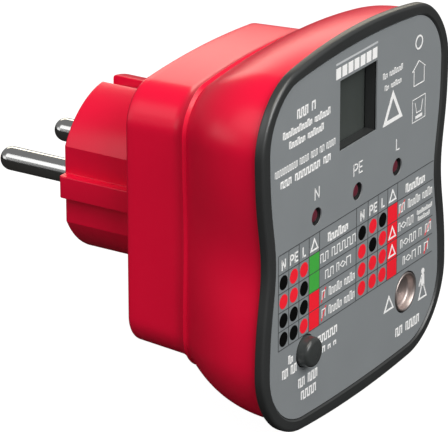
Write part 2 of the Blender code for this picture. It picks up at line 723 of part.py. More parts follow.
def make_controller_chip(base):
    """A surface-mount chip with legs along its long sides."""
    body = centred_block(CHIP_AT, (0.0088, 0.0040), (base + 0.0001, base + 0.0016))
    chip = add_part("controller_chip", join_shapes("controller_chip", body), "black_plastic")
    legs = []
    for k in range(7):
        x = CHIP_AT[0] + (k - 3) * 0.00127
        for side in (-1, 1):
            low, high = sorted((CHIP_AT[1] + side * 0.0016, CHIP_AT[1] + side * 0.0030))
            legs.append(block((x - 0.0002, x + 0.0002), (base, base + 0.0005), (low, high)))
    combine(chip, join_shapes("chip_legs", *legs), "UNION", "legs")


# ---------------------------------------------------------------- pins and earth strip
def make_pins():
    """Two round pins with rounded tips and a collar behind the plug's end wall."""
    tip_steps = 4
    profile = []
    for k in range(tip_steps + 1):
        angle = math.radians(90 * (1 - k / tip_steps))
        blunt = math.cos(angle) ** 0.9
        profile.append((PIN_RADIUS * blunt, PIN_LENGTH - PIN_RADIUS + PIN_RADIUS * math.sin(angle)))
    profile[0] = (0.0, PIN_LENGTH)
    profile += [
        (PIN_RADIUS, COLLAR_BACK_Y),
        (COLLAR_RADIUS, COLLAR_BACK_Y),
        (COLLAR_RADIUS, COLLAR_FRONT_Y),
        (PIN_RADIUS, COLLAR_FRONT_Y),
        (PIN_RADIUS, PIN_INNER_Y + 0.0004),
        (PIN_RADIUS - 0.0004, PIN_INNER_Y),
        (0.0, PIN_INNER_Y),
    ]
    for name, side in (("pin_left", -1), ("pin_right", 1)):
        turned(name, profile, "nickel", (side * PIN_SPACING / 2, 0.0, 0.0), 20)


def make_pin_carrier():
    """The insulating plate that clamps the pin collars, with the post that carries the earth strip."""
    plate = rod(PLUG_CAVITY_RADIUS - 0.0004, CARRIER_FRONT_Y, CARRIER_BACK_Y, segments=24)
    carrier = add_part("pin_carrier", join_shapes("pin_carrier", plate), "carrier_ivory")
    post = rod(0.003, CARRIER_POST_Y, CARRIER_BACK_Y - 0.001, segments=14)
    combine(carrier, join_shapes("carrier_post", post), "UNION", "post")
    holes = []
    for x in (-PIN_SPACING / 2, PIN_SPACING / 2):
        holes.append(rod(PIN_HOLE_RADIUS, CARRIER_FRONT_Y - 0.001, CARRIER_BACK_Y + 0.001, x, 0.0, 16))
    for z in (CARRIER_SCREW_Z, -CARRIER_SCREW_Z):
        holes.append(rod(0.0013, CARRIER_FRONT_Y - 0.001, CARRIER_BACK_Y + 0.001, 0.0, z, 10))
    holes.append(rod(0.0011, CARRIER_POST_Y - 0.001, -0.0160, segments=8))
    combine(carrier, join_shapes("carrier_holes", *holes), "DIFFERENCE", "holes")


def strip_path():
    """The earth strip's centre line in (y, z): out along one groove, round the base, back."""
    arm = [
        (-0.0016, STRIP_REST_Z - 0.00005),
        (-0.0035, STRIP_REST_Z + 0.0001),
        (-0.0070, STRIP_REST_Z + 0.0003),
        (-0.0110, STRIP_REST_Z + 0.0003),
        (-0.0150, STRIP_REST_Z + 0.0001),
        (-0.0190, STRIP_REST_Z),
    ]
    bend = 0.0012
    corner = arc((STRIP_BASE_Y + bend, STRIP_REST_Z - bend), bend, 90, 180, 4)
    upper = arm + corner
    return upper + [(y, -z) for y, z in reversed(upper)]


def make_earth_bracket():
    """The sprung earth strip, one bent piece that shows in both grooves."""
    path = strip_path()
    half = STRIP_THICKNESS / 2
    sides = {1: [], -1: []}
    for k, (y, z) in enumerate(path):
        before, after = path[max(k - 1, 0)], path[min(k + 1, len(path) - 1)]
        dy, dz = after[0] - before[0], after[1] - before[1]
        length = math.hypot(dy, dz)
        for side, points in sides.items():
            points.append((y - side * half * dz / length, z + side * half * dy / length))
    edge = sides[1] + sides[-1][::-1]
    rings = [[(x, y, z) for y, z in edge] for x in (-STRIP_HALF_WIDTH, STRIP_HALF_WIDTH)]
    bracket = add_part("earth_bracket", join_shapes("earth_bracket", skin(rings)), "nickel")
    hole = rod(0.0011, STRIP_BASE_Y - 0.001, STRIP_BASE_Y + 0.001, segments=10)
    combine(bracket, join_shapes("bracket_hole", hole), "DIFFERENCE", "hole")


# ---------------------------------------------------------------- screws
def screw_mesh(name, head_radius, head_height, shank_radius, shank_length):
    """A pan-head screw along +Z from its head's underside at the origin, with a cross recess."""
    rounding = head_height * 0.35
    profile = [
        (0.0, shank_length),
        (shank_radius * 0.5, shank_length),
        (shank_radius, shank_length - shank_radius),
        (shank_radius, 0.0),
        (head_radius, 0.0),
        (head_radius, -head_height + rounding),
        (head_radius - rounding, -head_height),
        (0.0, -head_height),
    ]
    mesh = bpy.data.meshes.new(name)
    points = [(radius, 0.0, height) for radius, height in profile]
    mesh.from_pydata(points, [(k, k + 1) for k in range(len(points) - 1)], [])
    return mesh


def add_screws(prefix, spots, head_y, direction, head_radius, head_height, shank_radius, shank_length):
    """Screws that share one mesh; direction is the way the shank points along Y."""
    mesh = screw_mesh(prefix, head_radius, head_height, shank_radius, shank_length)
    slot = head_radius * 0.6
    depth = head_height * 0.55
    width = head_radius * 0.14
    for key, (x, z) in spots.items():
        name = prefix + ("_" + key if key else "")
        tilt = -direction * math.pi / 2
        screw = add_part(name, mesh, "zinc_steel", (x, head_y, z), (tilt, 0.0, 0.0))
        turn = screw.modifiers.new("turn", "SCREW")
        turn.axis = "Z"
        turn.steps = 12
        turn.render_steps = 12
        turn.use_merge_vertices = True
        turn.merge_threshold = 0.00001
        turn.use_smooth_shade = True
        outer = head_y - direction * (head_height + 0.001)
        inner = head_y - direction * (head_height - depth)
        low, high = sorted((outer, inner))
        cut_a = block((x - slot, x + slot), (low, high), (z - width, z + width))
        cut_b = block((x - width, x + width), (low, high), (z - slot, z + slot))
        combine(screw, join_shapes(name + "_cross_a", cut_a), "DIFFERENCE", "cross_a")
        combine(screw, join_shapes(name + "_cross_b", cut_b), "DIFFERENCE", "cross_b")


def make_screws():
    """Housing, board, pin-carrier and earth-strip screws."""
    head_y = COUNTERBORE_FLOOR_Y + GAP
    add_screws("housing_screw", HOUSING_SCREWS, head_y, -1, 0.0024, 0.0018, 0.0012, 0.0130)
    add_screws("board_screw", BOARD_SCREWS, BOARD_BACK_Y + GAP, -1, 0.0019, 0.0013, 0.0008, 0.0060)
    carrier_spots = {"top": (0.0, CARRIER_SCREW_Z), "bottom": (0.0, -CARRIER_SCREW_Z)}
    add_screws("carrier_screw", carrier_spots, CARRIER_FRONT_Y - GAP, 1, 0.0020, 0.0013, 0.0009, 0.0062)
    base_front = STRIP_BASE_Y - STRIP_THICKNESS / 2
    add_screws("bracket_screw", {"": (0.0, 0.0)}, base_front - GAP, 1, 0.0017, 0.0012, 0.0008, 0.0060)


# ---------------------------------------------------------------- wires
def smooth_route(points, samples):
    """Points along a Catmull-Rom curve through the route."""
    padded = [points[0]] + points + [points[-1]]
    route = []
    for k in range(len(points) - 1):
        p0, p1, p2, p3 = padded[k : k + 4]
        for step in range(samples):
            t = step / samples
            route.append(
                tuple(
                    0.5
                    * (
                        2 * b
                        + (c - a) * t
                        + (2 * a - 5 * b + 4 * c - d) * t**2
                        + (3 * b - a - 3 * c + d) * t**3
                    )
                    for a, b, c, d in zip(p0, p1, p2, p3)
                )
            )
    route.append(points[-1])
    return route


def make_wires():
    """Insulated leads from the two pins and the earth strip to the board."""
    radius = 0.0008
    end = BOARD_BACK_Y + GAP
    start = PIN_INNER_Y - GAP
    for name, side, finish in (("wire_line", -1, "wire_brown"), ("wire_neutral", 1, "wire_blue")):
        x = side * PIN_SPACING / 2
        route = [
            (x, start, 0.0),
            (x, start - 0.004, 0.0),
            (x, -0.0250, 0.0008),
            (side * 0.0080, -0.0330, 0.0060),
            (side * 0.0062, -0.0400, 0.0115),
            (side * 0.0060, -0.0430, 0.0124),
            (side * 0.0060, end, 0.0125),
        ]
        tube(name, smooth_route(route, 3), radius, finish)
    base_front = STRIP_BASE_Y - STRIP_THICKNESS / 2 - GAP
    route = [
        (0.0, base_front, 0.0085),
        (0.0, base_front - 0.003, 0.0086),
        (0.0, -0.0330, 0.0105),
        (0.0, -0.0400, 0.0123),
        (0.0, -0.0430, 0.0125),
        (0.0, end, 0.0125),
    ]
    tube("wire_earth", smooth_route(route, 3), radius, "wire_green_yellow")


clear_scene()
PARTS = new_collection("outlet_tester_plug")
CUTTERS = new_collection("cutters")
make_housing_shell()
make_front_cover()
make_front_label()
make_display()
make_lamps()
make_button()
make_touch_electrode()
make_main_board()
make_components()
make_pins()
make_pin_carrier()
make_earth_bracket()
make_screws()
make_wires()
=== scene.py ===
"""Looks of the outlet tester plug: smooth shells, printed panel, metal parts, studio light and camera.

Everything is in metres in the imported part's frame: +Y goes into the socket, the panel faces -Y.
"""
import json
import math
from collections import namedtuple

import bmesh
import bpy
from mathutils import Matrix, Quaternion, Vector


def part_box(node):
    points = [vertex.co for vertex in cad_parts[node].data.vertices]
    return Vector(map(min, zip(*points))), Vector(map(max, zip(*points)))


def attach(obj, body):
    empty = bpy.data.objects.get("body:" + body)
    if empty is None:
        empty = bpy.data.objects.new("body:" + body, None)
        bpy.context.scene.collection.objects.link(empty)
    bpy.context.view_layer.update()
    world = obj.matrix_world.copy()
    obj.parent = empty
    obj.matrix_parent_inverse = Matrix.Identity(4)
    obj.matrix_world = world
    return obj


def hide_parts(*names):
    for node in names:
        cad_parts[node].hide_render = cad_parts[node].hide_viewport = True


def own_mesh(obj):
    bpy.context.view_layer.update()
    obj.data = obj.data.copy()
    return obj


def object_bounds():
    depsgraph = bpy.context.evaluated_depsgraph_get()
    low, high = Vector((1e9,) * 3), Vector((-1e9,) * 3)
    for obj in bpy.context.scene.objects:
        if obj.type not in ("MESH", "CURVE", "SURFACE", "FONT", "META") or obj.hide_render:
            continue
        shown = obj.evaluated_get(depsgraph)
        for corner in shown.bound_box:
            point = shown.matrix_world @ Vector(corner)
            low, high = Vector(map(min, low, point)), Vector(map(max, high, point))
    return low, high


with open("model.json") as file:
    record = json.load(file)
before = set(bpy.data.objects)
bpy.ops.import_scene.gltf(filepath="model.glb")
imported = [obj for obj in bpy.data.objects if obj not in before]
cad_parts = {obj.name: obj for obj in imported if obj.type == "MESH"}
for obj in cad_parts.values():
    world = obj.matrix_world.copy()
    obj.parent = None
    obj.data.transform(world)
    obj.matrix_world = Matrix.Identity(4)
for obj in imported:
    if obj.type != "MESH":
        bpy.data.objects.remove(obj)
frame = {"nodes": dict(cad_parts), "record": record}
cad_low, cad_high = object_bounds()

MM = 0.001

# ---------------------------------------------------------------- stations and sizes from the frame
SHELL_LOW, SHELL_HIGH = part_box("housing_shell")
PLUG_LENGTH = 0.0210
BOX_DEPTH = 0.0108
FILLET_DEPTH = 0.0033
STEP_DEPTH = 0.0007
RIM_DEPTH = 0.002
RECESS_DEPTH = 0.0009
PLATE_DEPTH = 0.002
GAP = 0.0003
WALL = 0.002
SEAT_Y = SHELL_HIGH.y - PLUG_LENGTH
BOX_FRONT_Y = SEAT_Y - BOX_DEPTH
CREASE_Y = BOX_FRONT_Y - FILLET_DEPTH
FLARE_START_Y = CREASE_Y - STEP_DEPTH
SHELL_FRONT_Y = SHELL_LOW.y
RIM_FRONT_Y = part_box("front_cover")[0].y
RIM_BACK_Y = RIM_FRONT_Y + RIM_DEPTH
PLATE_FRONT_Y = RIM_FRONT_Y + RECESS_DEPTH
PLATE_BACK_Y = PLATE_FRONT_Y + PLATE_DEPTH
LABEL_FRONT_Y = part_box("front_label")[0].y
BOARD_FRONT_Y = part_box("main_board")[0].y

# Half width, top, bottom (below the pin axis), corner radii, crown of the long edges, side waist
Section = namedtuple("Section", "half top bottom r_top r_bottom crown_top crown_bottom waist")
BOX_REAR = Section(0.0256, 0.0278, 0.0267, 0.0072, 0.0064, 0.0015, 0.0005, 0.0)
BOX_FRONT = Section(0.0261, 0.0283, 0.0272, 0.0072, 0.0064, 0.0015, 0.0005, 0.0)
FLARE_FRONT = Section(0.0337, 0.0369, 0.0364, 0.0112, 0.0138, 0.0044, 0.0025, 0.0022)
RIM = Section(0.0350, 0.0382, 0.0377, 0.0120, 0.0145, 0.0044, 0.0025, 0.0022)
LABEL_EDGE = RIM._replace(r_top=0.0130, r_bottom=0.0150, crown_top=0.0026, crown_bottom=0.0013)
WAIST_Z = 0.0
WAIST_SPREAD = 0.0108
RIDGE_SHARE = 0.19
STEP_SHARE = 0.15
FLARE_POWER = 2.5
LABEL_INSET = 0.0028
CORNER_STEPS = 20
EDGE_STEPS = 16
SIDE_STEPS = 36

# Plug
PLUG_FLAT_X = 0.0155
RIB_HALF = 0.0023
RIB_RADIUS = 0.0176
GROOVE_HALF = 0.0021
GROOVE_FLOOR_Z = 0.0146
PLUG_RADIUS = 0.0174
PLUG_CAVITY_RADIUS = 0.0130
END_WALL = 0.003
PIN_SPACING = 0.019
PIN_RADIUS = 0.0024
PIN_COLLAR_RADIUS = 0.0035
PIN_COLLAR_DEPTH = 0.002
COLLAR_FRONT_Y = -END_WALL - GAP - PIN_COLLAR_DEPTH
CARRIER_SCREW_Z = 0.008

# Housing posts and bores
POST_FRONT_Y = -0.0360
POST_RADIUS = 0.0036
COUNTERBORE_FLOOR_Y = -0.0330
COUNTERBORE_RADIUS = 0.0028
CLEARANCE_RADIUS = 0.0016
CARRIER_POST_RADIUS = 0.0028
CARRIER_THREAD_RADIUS = 0.0012
PIN_HOLE_RADIUS = 0.0027
OVERSHOOT = 0.001

# Cover bosses, standoffs and button guide
BOSS_RADIUS = 0.0032
BOSS_THREAD_RADIUS = 0.0015
BOSS_THREAD_Y = -0.0480
STANDOFF_RADIUS = 0.0024
STANDOFF_THREAD_RADIUS = 0.0011
STANDOFF_THREAD_Y = -0.0530
GUIDE_RADIUS = 0.0054
GUIDE_BORE_RADIUS = 0.0047
GUIDE_BACK_Y = -0.0505


def centre_of(node):
    """The (x, z) centre of a CAD node's box."""
    low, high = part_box(node)
    return (low.x + high.x) / 2, (low.z + high.z) / 2


HOUSING_SCREWS = [
    centre_of("housing_screw_" + place) for place in ("top_left", "top_right", "bottom_left", "bottom_right")
]
BOARD_SCREWS = [centre_of("board_screw_left"), centre_of("board_screw_right")]
BUTTON_AT = centre_of("test_button")
ELECTRODE_AT = centre_of("touch_electrode")
LAMP_NODES = ("led_n", "led_pe", "led_l")
LAMPS = [centre_of(name) for name in LAMP_NODES]
WINDOW_AT = centre_of("window_lens")
WINDOW_SIZE = (0.0139, 0.0142)
LAMP_HOLE = 0.0018
BUTTON_HOLE = 0.0033
ELECTRODE_HOLE = 0.0043


# ---------------------------------------------------------------- materials
def set_input(node, name, value):
    """Set a socket's constant."""
    node.inputs[name].default_value = value


def make_material(name, colour, roughness, metallic=0.0, grain=2500.0, bump=0.15, tint=0.06, coat=0.0,
                  specular=0.5):
    """A moulded or plated finish: fine grain, patchy gloss and slight colour variation."""
    material = bpy.data.materials.new(name)
    material.use_nodes = True
    nodes, links = material.node_tree.nodes, material.node_tree.links
    shader = nodes["Principled BSDF"]
    set_input(shader, "Metallic", metallic)
    set_input(shader, "Specular IOR Level", specular)
    set_input(shader, "Coat Weight", coat)
    set_input(shader, "Coat Roughness", 0.08)
    where = nodes.new("ShaderNodeTexCoord")

    fine = nodes.new("ShaderNodeTexNoise")
    set_input(fine, "Scale", grain)
    set_input(fine, "Detail", 3.0)
    links.new(where.outputs["Object"], fine.inputs["Vector"])
    relief = nodes.new("ShaderNodeBump")
    set_input(relief, "Strength", bump)
    set_input(relief, "Distance", 0.00003)
    links.new(fine.outputs["Fac"], relief.inputs["Height"])
    links.new(relief.outputs["Normal"], shader.inputs["Normal"])

    broad = nodes.new("ShaderNodeTexNoise")
    set_input(broad, "Scale", 90.0)
    set_input(broad, "Detail", 4.0)
    links.new(where.outputs["Object"], broad.inputs["Vector"])
    ramp = nodes.new("ShaderNodeValToRGB")
    ramp.color_ramp.elements[0].position = 0.3
    ramp.color_ramp.elements[1].position = 0.7
    ramp.color_ramp.elements[0].color = (*[c * (1 - tint) for c in colour], 1.0)
    ramp.color_ramp.elements[1].color = (*[min(c * (1 + tint), 1.0) for c in colour], 1.0)
    links.new(broad.outputs["Fac"], ramp.inputs["Fac"])
    links.new(ramp.outputs["Color"], shader.inputs["Base Color"])
    gloss = nodes.new("ShaderNodeMapRange")
    set_input(gloss, "To Min", roughness * 0.94)
    set_input(gloss, "To Max", roughness * 1.06)
    links.new(broad.outputs["Fac"], gloss.inputs["Value"])
    links.new(gloss.outputs["Result"], shader.inputs["Roughness"])
    return material


FINISHES = {
    "red_plastic": make_material(
        "satin_red_plastic", (0.88, 0.001, 0.040), 0.29, grain=3600, bump=0.06, tint=0.015
    ),
    "dark_plastic": make_material(
        "charcoal_plastic", (0.029, 0.031, 0.0315), 0.36, grain=2600, bump=0.2, specular=0.9
    ),
    "label_grey": make_material("grey_overlay", (0.232, 0.250, 0.262), 0.5, grain=4200, bump=0.1, tint=0.02),
    "button_grey": make_material("button_plastic", (0.042, 0.046, 0.046), 0.22, grain=2200, bump=0.2),
    "clear_window": make_material("smoked_window", (0.058, 0.066, 0.062), 0.22, grain=900, bump=0.03),
    "display_glass": make_material("dark_display", (0.055, 0.063, 0.058), 0.18, grain=1200, bump=0.03),
    "contact_strip_rubber": make_material("contact_rubber", (0.03, 0.03, 0.03), 0.7, grain=1500, bump=0.4),
    "lamp_red": make_material("lamp_maroon", (0.13, 0.020, 0.034), 0.30, grain=1800, bump=0.08, specular=0.3),
    "nickel": make_material("nickel_plate", (0.78, 0.78, 0.77), 0.15, 1.0, grain=900, bump=0.05, tint=0.03),
    "spring_steel": make_material("spring_wire", (0.55, 0.55, 0.56), 0.28, 1.0, grain=2400, bump=0.15),
    "zinc_steel": make_material("zinc_plate", (0.60, 0.61, 0.60), 0.32, 1.0, grain=2000, bump=0.2),
    "board_green": make_material("solder_mask", (0.015, 0.13, 0.045), 0.38, grain=1600, bump=0.2, coat=0.3),
    "black_plastic": make_material("black_moulding", (0.02, 0.02, 0.021), 0.5, grain=2200, bump=0.3),
    "ceramic_white": make_material("resistor_ceramic", (0.72, 0.71, 0.67), 0.75, grain=1400, bump=0.5),
    "capacitor_yellow": make_material("capacitor_film", (0.62, 0.40, 0.05), 0.42, grain=1800, bump=0.15),
    "carrier_ivory": make_material("carrier_thermoset", (0.60, 0.56, 0.46), 0.55, grain=1600, bump=0.3),
    "wire_brown": make_material("brown_insulation", (0.15, 0.06, 0.025), 0.45, grain=1800, bump=0.15),
    "wire_blue": make_material("blue_insulation", (0.035, 0.10, 0.45), 0.45, grain=1800, bump=0.15),
    "wire_green_yellow": make_material("earth_insulation", (0.32, 0.47, 0.035), 0.45, grain=1800, bump=0.15),
}
CUP_FINISH = make_material("cup_plate", (0.55, 0.48, 0.46), 0.48, 1.0, grain=1200, bump=0.15, tint=0.05)
INKS = {
    "white": make_material("ink_white", (0.95, 0.95, 0.95), 0.5, grain=3000, bump=0.08, tint=0.02),
    "pale": make_material("ink_pale_grey", (0.56, 0.58, 0.60), 0.5, grain=3000, bump=0.08, tint=0.02),
    "black": make_material("ink_black", (0.002, 0.002, 0.002), 0.6, grain=3000, bump=0.08, specular=0.1),
    "red": make_material("ink_red", (0.95, 0.010, 0.028), 0.5, grain=3000, bump=0.08, tint=0.02),
    "green": make_material("ink_green", (0.055, 0.42, 0.055), 0.5, grain=3000, bump=0.08, tint=0.02),
    "line": make_material("ink_line_grey", (0.055, 0.060, 0.065), 0.5, grain=3000, bump=0.08),
}


# ---------------------------------------------------------------- mesh helpers
def smooth(mesh, angle=30.0):
    """Smooth shading, with edges sharper than the angle kept crisp."""
    mesh.shade_smooth()
    mesh.set_sharp_from_angle(angle=math.radians(angle))


def solid(name, *builders):
    """One closed mesh from several shapes."""
    bm = bmesh.new()
    for build in builders:
        build(bm)
    bmesh.ops.recalc_face_normals(bm, faces=bm.faces)
    mesh = bpy.data.meshes.new(name)
    bm.to_mesh(mesh)
    bm.free()
    return mesh


def place(name, mesh, finish, slot, nodes=(), body="root", angle=30.0):
    """Show a piece: it rides on a body, takes the finish it is given and stands for CAD nodes; the slot is
    not used.
    """
    obj = bpy.data.objects.new(name, mesh)
    bpy.context.scene.collection.objects.link(obj)
    mesh.materials.clear()
    mesh.materials.append(finish)
    smooth(mesh, angle)
    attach(obj, body)
    if nodes:
        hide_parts(*nodes)
    return obj


def carve(mesh, tool, operation):
    """The mesh after a Boolean with a tool mesh."""
    target = bpy.data.objects.new("carve_target", mesh)
    cutter = bpy.data.objects.new("carve_tool", tool)
    for obj in (target, cutter):
        bpy.context.scene.collection.objects.link(obj)
    modifier = target.modifiers.new("carve", "BOOLEAN")
    modifier.operation = operation
    modifier.solver = "EXACT"
    modifier.object = cutter
    graph = bpy.context.evaluated_depsgraph_get()
    result = bpy.data.meshes.new_from_object(target.evaluated_get(graph))
    for obj in (target, cutter):
        bpy.data.objects.remove(obj, do_unlink=True)
    result.name = mesh.name
    return result


def rod(radius, y0, y1, x=0.0, z=0.0, segments=48):
    """A cylinder along Y."""

    def build(bm):
        made = bmesh.ops.create_cone(
            bm, cap_ends=True, segments=segments, radius1=radius, radius2=radius, depth=y1 - y0
        )
        for vert in made["verts"]:
            along = vert.co.z
            vert.co = (x + vert.co.x, (y0 + y1) / 2 + along, z - vert.co.y)

    return build


def block(x, y, z):
    """A box from (low, high) pairs."""

    def build(bm):
        made = bmesh.ops.create_cube(bm, size=1.0)
        for vert in made["verts"]:
            vert.co.x = x[0] + (vert.co.x + 0.5) * (x[1] - x[0])
            vert.co.y = y[0] + (vert.co.y + 0.5) * (y[1] - y[0])
            vert.co.z = z[0] + (vert.co.z + 0.5) * (z[1] - z[0])

    return build


def centred_block(at, size, y):
    """A box centred at (x, z) with its sizes along X and Z, spanning y."""
    half_x, half_z = size[0] / 2, size[1] / 2
    return block((at[0] - half_x, at[0] + half_x), y, (at[1] - half_z, at[1] + half_z))


def skin(rings):
    """A closed solid through rings of equal point count, capped at both ends."""

    def build(bm):
        loops = [[bm.verts.new(point) for point in ring] for ring in rings]
        count = len(loops[0])
        for near, far in zip(loops, loops[1:]):
            for k in range(count):
                after = (k + 1) % count
                bm.faces.new((near[k], near[after], far[after], far[k]))
        bm.faces.new(loops[0])
        bm.faces.new(loops[-1])

    return build


def turned(profile, at, segments=72):
    """A solid of revolution about the line along Y at (x, z); the profile is (radius, y) pairs."""

    def build(bm):
        loops = []
        for radius, y in profile:
            if radius == 0.0:
                loops.append([bm.verts.new((at[0], y, at[1]))])
                continue
            loops.append(
                [
                    bm.verts.new((at[0] + radius * math.cos(a), y, at[1] + radius * math.sin(a)))
                    for a in (2 * math.pi * k / segments for k in range(segments))
                ]
            )
        for near, far in zip(loops, loops[1:]):
            for k in range(segments):
                after = (k + 1) % segments
                corners = [near[k % len(near)], near[after % len(near)]]
                corners += [far[after % len(far)], far[k % len(far)]]
                bm.faces.new(list(dict.fromkeys(corners)))

    return build


def arc(centre, radius, start_deg, end_deg, steps):
    """Points on an arc, both ends included."""
    angles = [math.radians(start_deg + (end_deg - start_deg) * k / steps) for k in range(steps + 1)]
    return [(centre[0] + radius * math.cos(a), centre[1] + radius * math.sin(a)) for a in angles]


# ---------------------------------------------------------------- body outline and profile
def mix(first, second, share):
    """The section this share of the way from one section to another."""
    return Section(*[a + (b - a) * share for a, b in zip(first, second)])


def between(start, end, count):
    """Points strictly between two ends, evenly spaced."""
    shares = [k / count for k in range(1, count)]
    return [(start[0] + (end[0] - start[0]) * s, start[1] + (end[1] - start[1]) * s) for s in shares]


def outline(section, inset=0.0):
    """The section's outline as (x, z) points, anticlockwise from its right side, moved inward."""
    half, top, bottom = section.half - inset, section.top - inset, -(section.bottom - inset)
    r_top, r_bottom = section.r_top - inset, section.r_bottom - inset
    corners = [
        arc((half - r_top, top - r_top), r_top, 0, 90, CORNER_STEPS),
        arc((r_top - half, top - r_top), r_top, 90, 180, CORNER_STEPS),
        arc((r_bottom - half, bottom + r_bottom), r_bottom, 180, 270, CORNER_STEPS),
        arc((half - r_bottom, bottom + r_bottom), r_bottom, 270, 360, CORNER_STEPS),
    ]
    counts = (EDGE_STEPS, SIDE_STEPS, EDGE_STEPS, SIDE_STEPS)
    points = []
    for k, corner in enumerate(corners):
        points += corner + between(corner[-1], corners[(k + 1) % 4][0], counts[k])
    return [shaped(x, z, section, half, top - r_top, bottom + r_bottom) for x, z in points]


def shaped(x, z, section, half, upper, lower):
    """Crown the long edges and pull the waist in."""
    across = (x / half) ** 2
    if z > 0:
        z -= section.crown_top * across * min(z / upper, 1.0)
    else:
        z += section.crown_bottom * across * min(z / lower, 1.0)
    pull = section.waist / half * math.exp(-(((z - WAIST_Z) / WAIST_SPREAD) ** 2))
    return x * (1 - pull), z


def body_section(y):
    """The housing's cross-section at a station between the seat and the shell's front."""
    if y >= BOX_FRONT_Y:
        return mix(BOX_REAR, BOX_FRONT, (SEAT_Y - y) / BOX_DEPTH)
    if y >= CREASE_Y:
        along = (BOX_FRONT_Y - y) / (BOX_FRONT_Y - CREASE_Y)
        return mix(BOX_FRONT, FLARE_FRONT, RIDGE_SHARE * along**2)
    along = max(FLARE_START_Y - y, 0.0) / (FLARE_START_Y - SHELL_FRONT_Y)
    flare = 1 - (1 - along) ** FLARE_POWER
    return mix(BOX_FRONT, FLARE_FRONT, STEP_SHARE + (1 - STEP_SHARE) * flare)


def ring(section, y, inset=0.0):
    """The section's outline as 3-D points at a station."""
    return [(x, y, z) for x, z in outline(section, inset)]


# ---------------------------------------------------------------- housing
def shell_rings():
    """Rings from the seating face forward over the outside, then back over the inside."""
    edge = 0.0008
    rings = []
    for k in range(6):
        turn = math.radians(90 * k / 5)
        back = edge * (1 - math.sin(turn))
        rings.append(ring(body_section(SEAT_Y - back), SEAT_Y - back, edge * (1 - math.cos(turn))))
    rings.reverse()
    rings = [ring(BOX_REAR, SEAT_Y, edge)] + rings[1:]
    steps = 8
    stations = [SEAT_Y - edge - (BOX_DEPTH - edge) * k / steps for k in range(1, steps)]
    stations += [BOX_FRONT_Y - (BOX_FRONT_Y - CREASE_Y) * k / steps for k in range(steps + 1)]
    flare = FLARE_START_Y - SHELL_FRONT_Y
    stations += [FLARE_START_Y - flare * (k / 30) ** 1.3 for k in range(31)]
    rings += [ring(body_section(y), y) for y in stations]
    front = SHELL_FRONT_Y
    rings[-1] = ring(body_section(front), front + 0.0003)
    rings.append(ring(body_section(front), front, 0.0003))
    inner = [y for y in stations if front + 0.001 < y < FLARE_START_Y][::-3]
    rings += [ring(body_section(front), front, WALL)]
    rings += [ring(body_section(y), y, WALL) for y in inner]
    rings.append(ring(body_section(SEAT_Y - WALL), SEAT_Y - WALL, WALL))
    return rings


def rounded(points, radii, steps=4):
    """A polygon's corners rounded: radii gives each point's radius, 0 for a sharp one."""
    made = []
    count = len(points)
    for k, (point, radius) in enumerate(zip(points, radii)):
        if not radius:
            made.append(point)
            continue
        here = Vector(point)
        before = (Vector(points[k - 1]) - here).normalized()
        after = (Vector(points[(k + 1) % count]) - here).normalized()
        start, end = here + before * radius, here + after * radius
        for step in range(steps + 1):
            t = step / steps
            spot = start * (1 - t) ** 2 + here * 2 * t * (1 - t) + end * t**2
            made.append((spot.x, spot.y))
    return made


def plug_outline():
    """The plug body's outline: round top and bottom with grooves, flat sides with guide ribs."""
    flat_angle = math.degrees(math.acos(PLUG_FLAT_X / PLUG_RADIUS))
    groove_angle = math.degrees(math.acos(GROOVE_HALF / PLUG_RADIUS))
    rib_x = math.sqrt(RIB_RADIUS**2 - RIB_HALF**2)
    edge, fillet = 0.00025, 0.0002
    curve = arc((0, 0), PLUG_RADIUS, flat_angle, groove_angle, 24)
    quarter = [(rib_x, RIB_HALF), (PLUG_FLAT_X, RIB_HALF)] + curve + [(GROOVE_HALF, GROOVE_FLOOR_Z)]
    radii = [edge, fillet] + [0.0] * (len(curve) - 1) + [edge, fillet]
    mirrored = [(-x, z) for x, z in reversed(quarter)]
    upper, upper_radii = quarter + mirrored, radii + radii[::-1]
    lower = [(-x, -z) for x, z in upper]
    return rounded(upper + lower, upper_radii + upper_radii)


def plug_rings():
    """The plug body from its rounded end edge back into the box's rear wall."""
    points = plug_outline()
    edge = 0.0005
    rings = []
    for k in range(5):
        turn = math.radians(90 * k / 4)
        small = 1 - edge * (1 - math.sin(turn)) / PLUG_RADIUS
        rings.append([(x * small, -edge * (1 - math.cos(turn)), z * small) for x, z in points])
    rings.append([(x, SEAT_Y - WALL / 2, z) for x, z in points])
    return rings


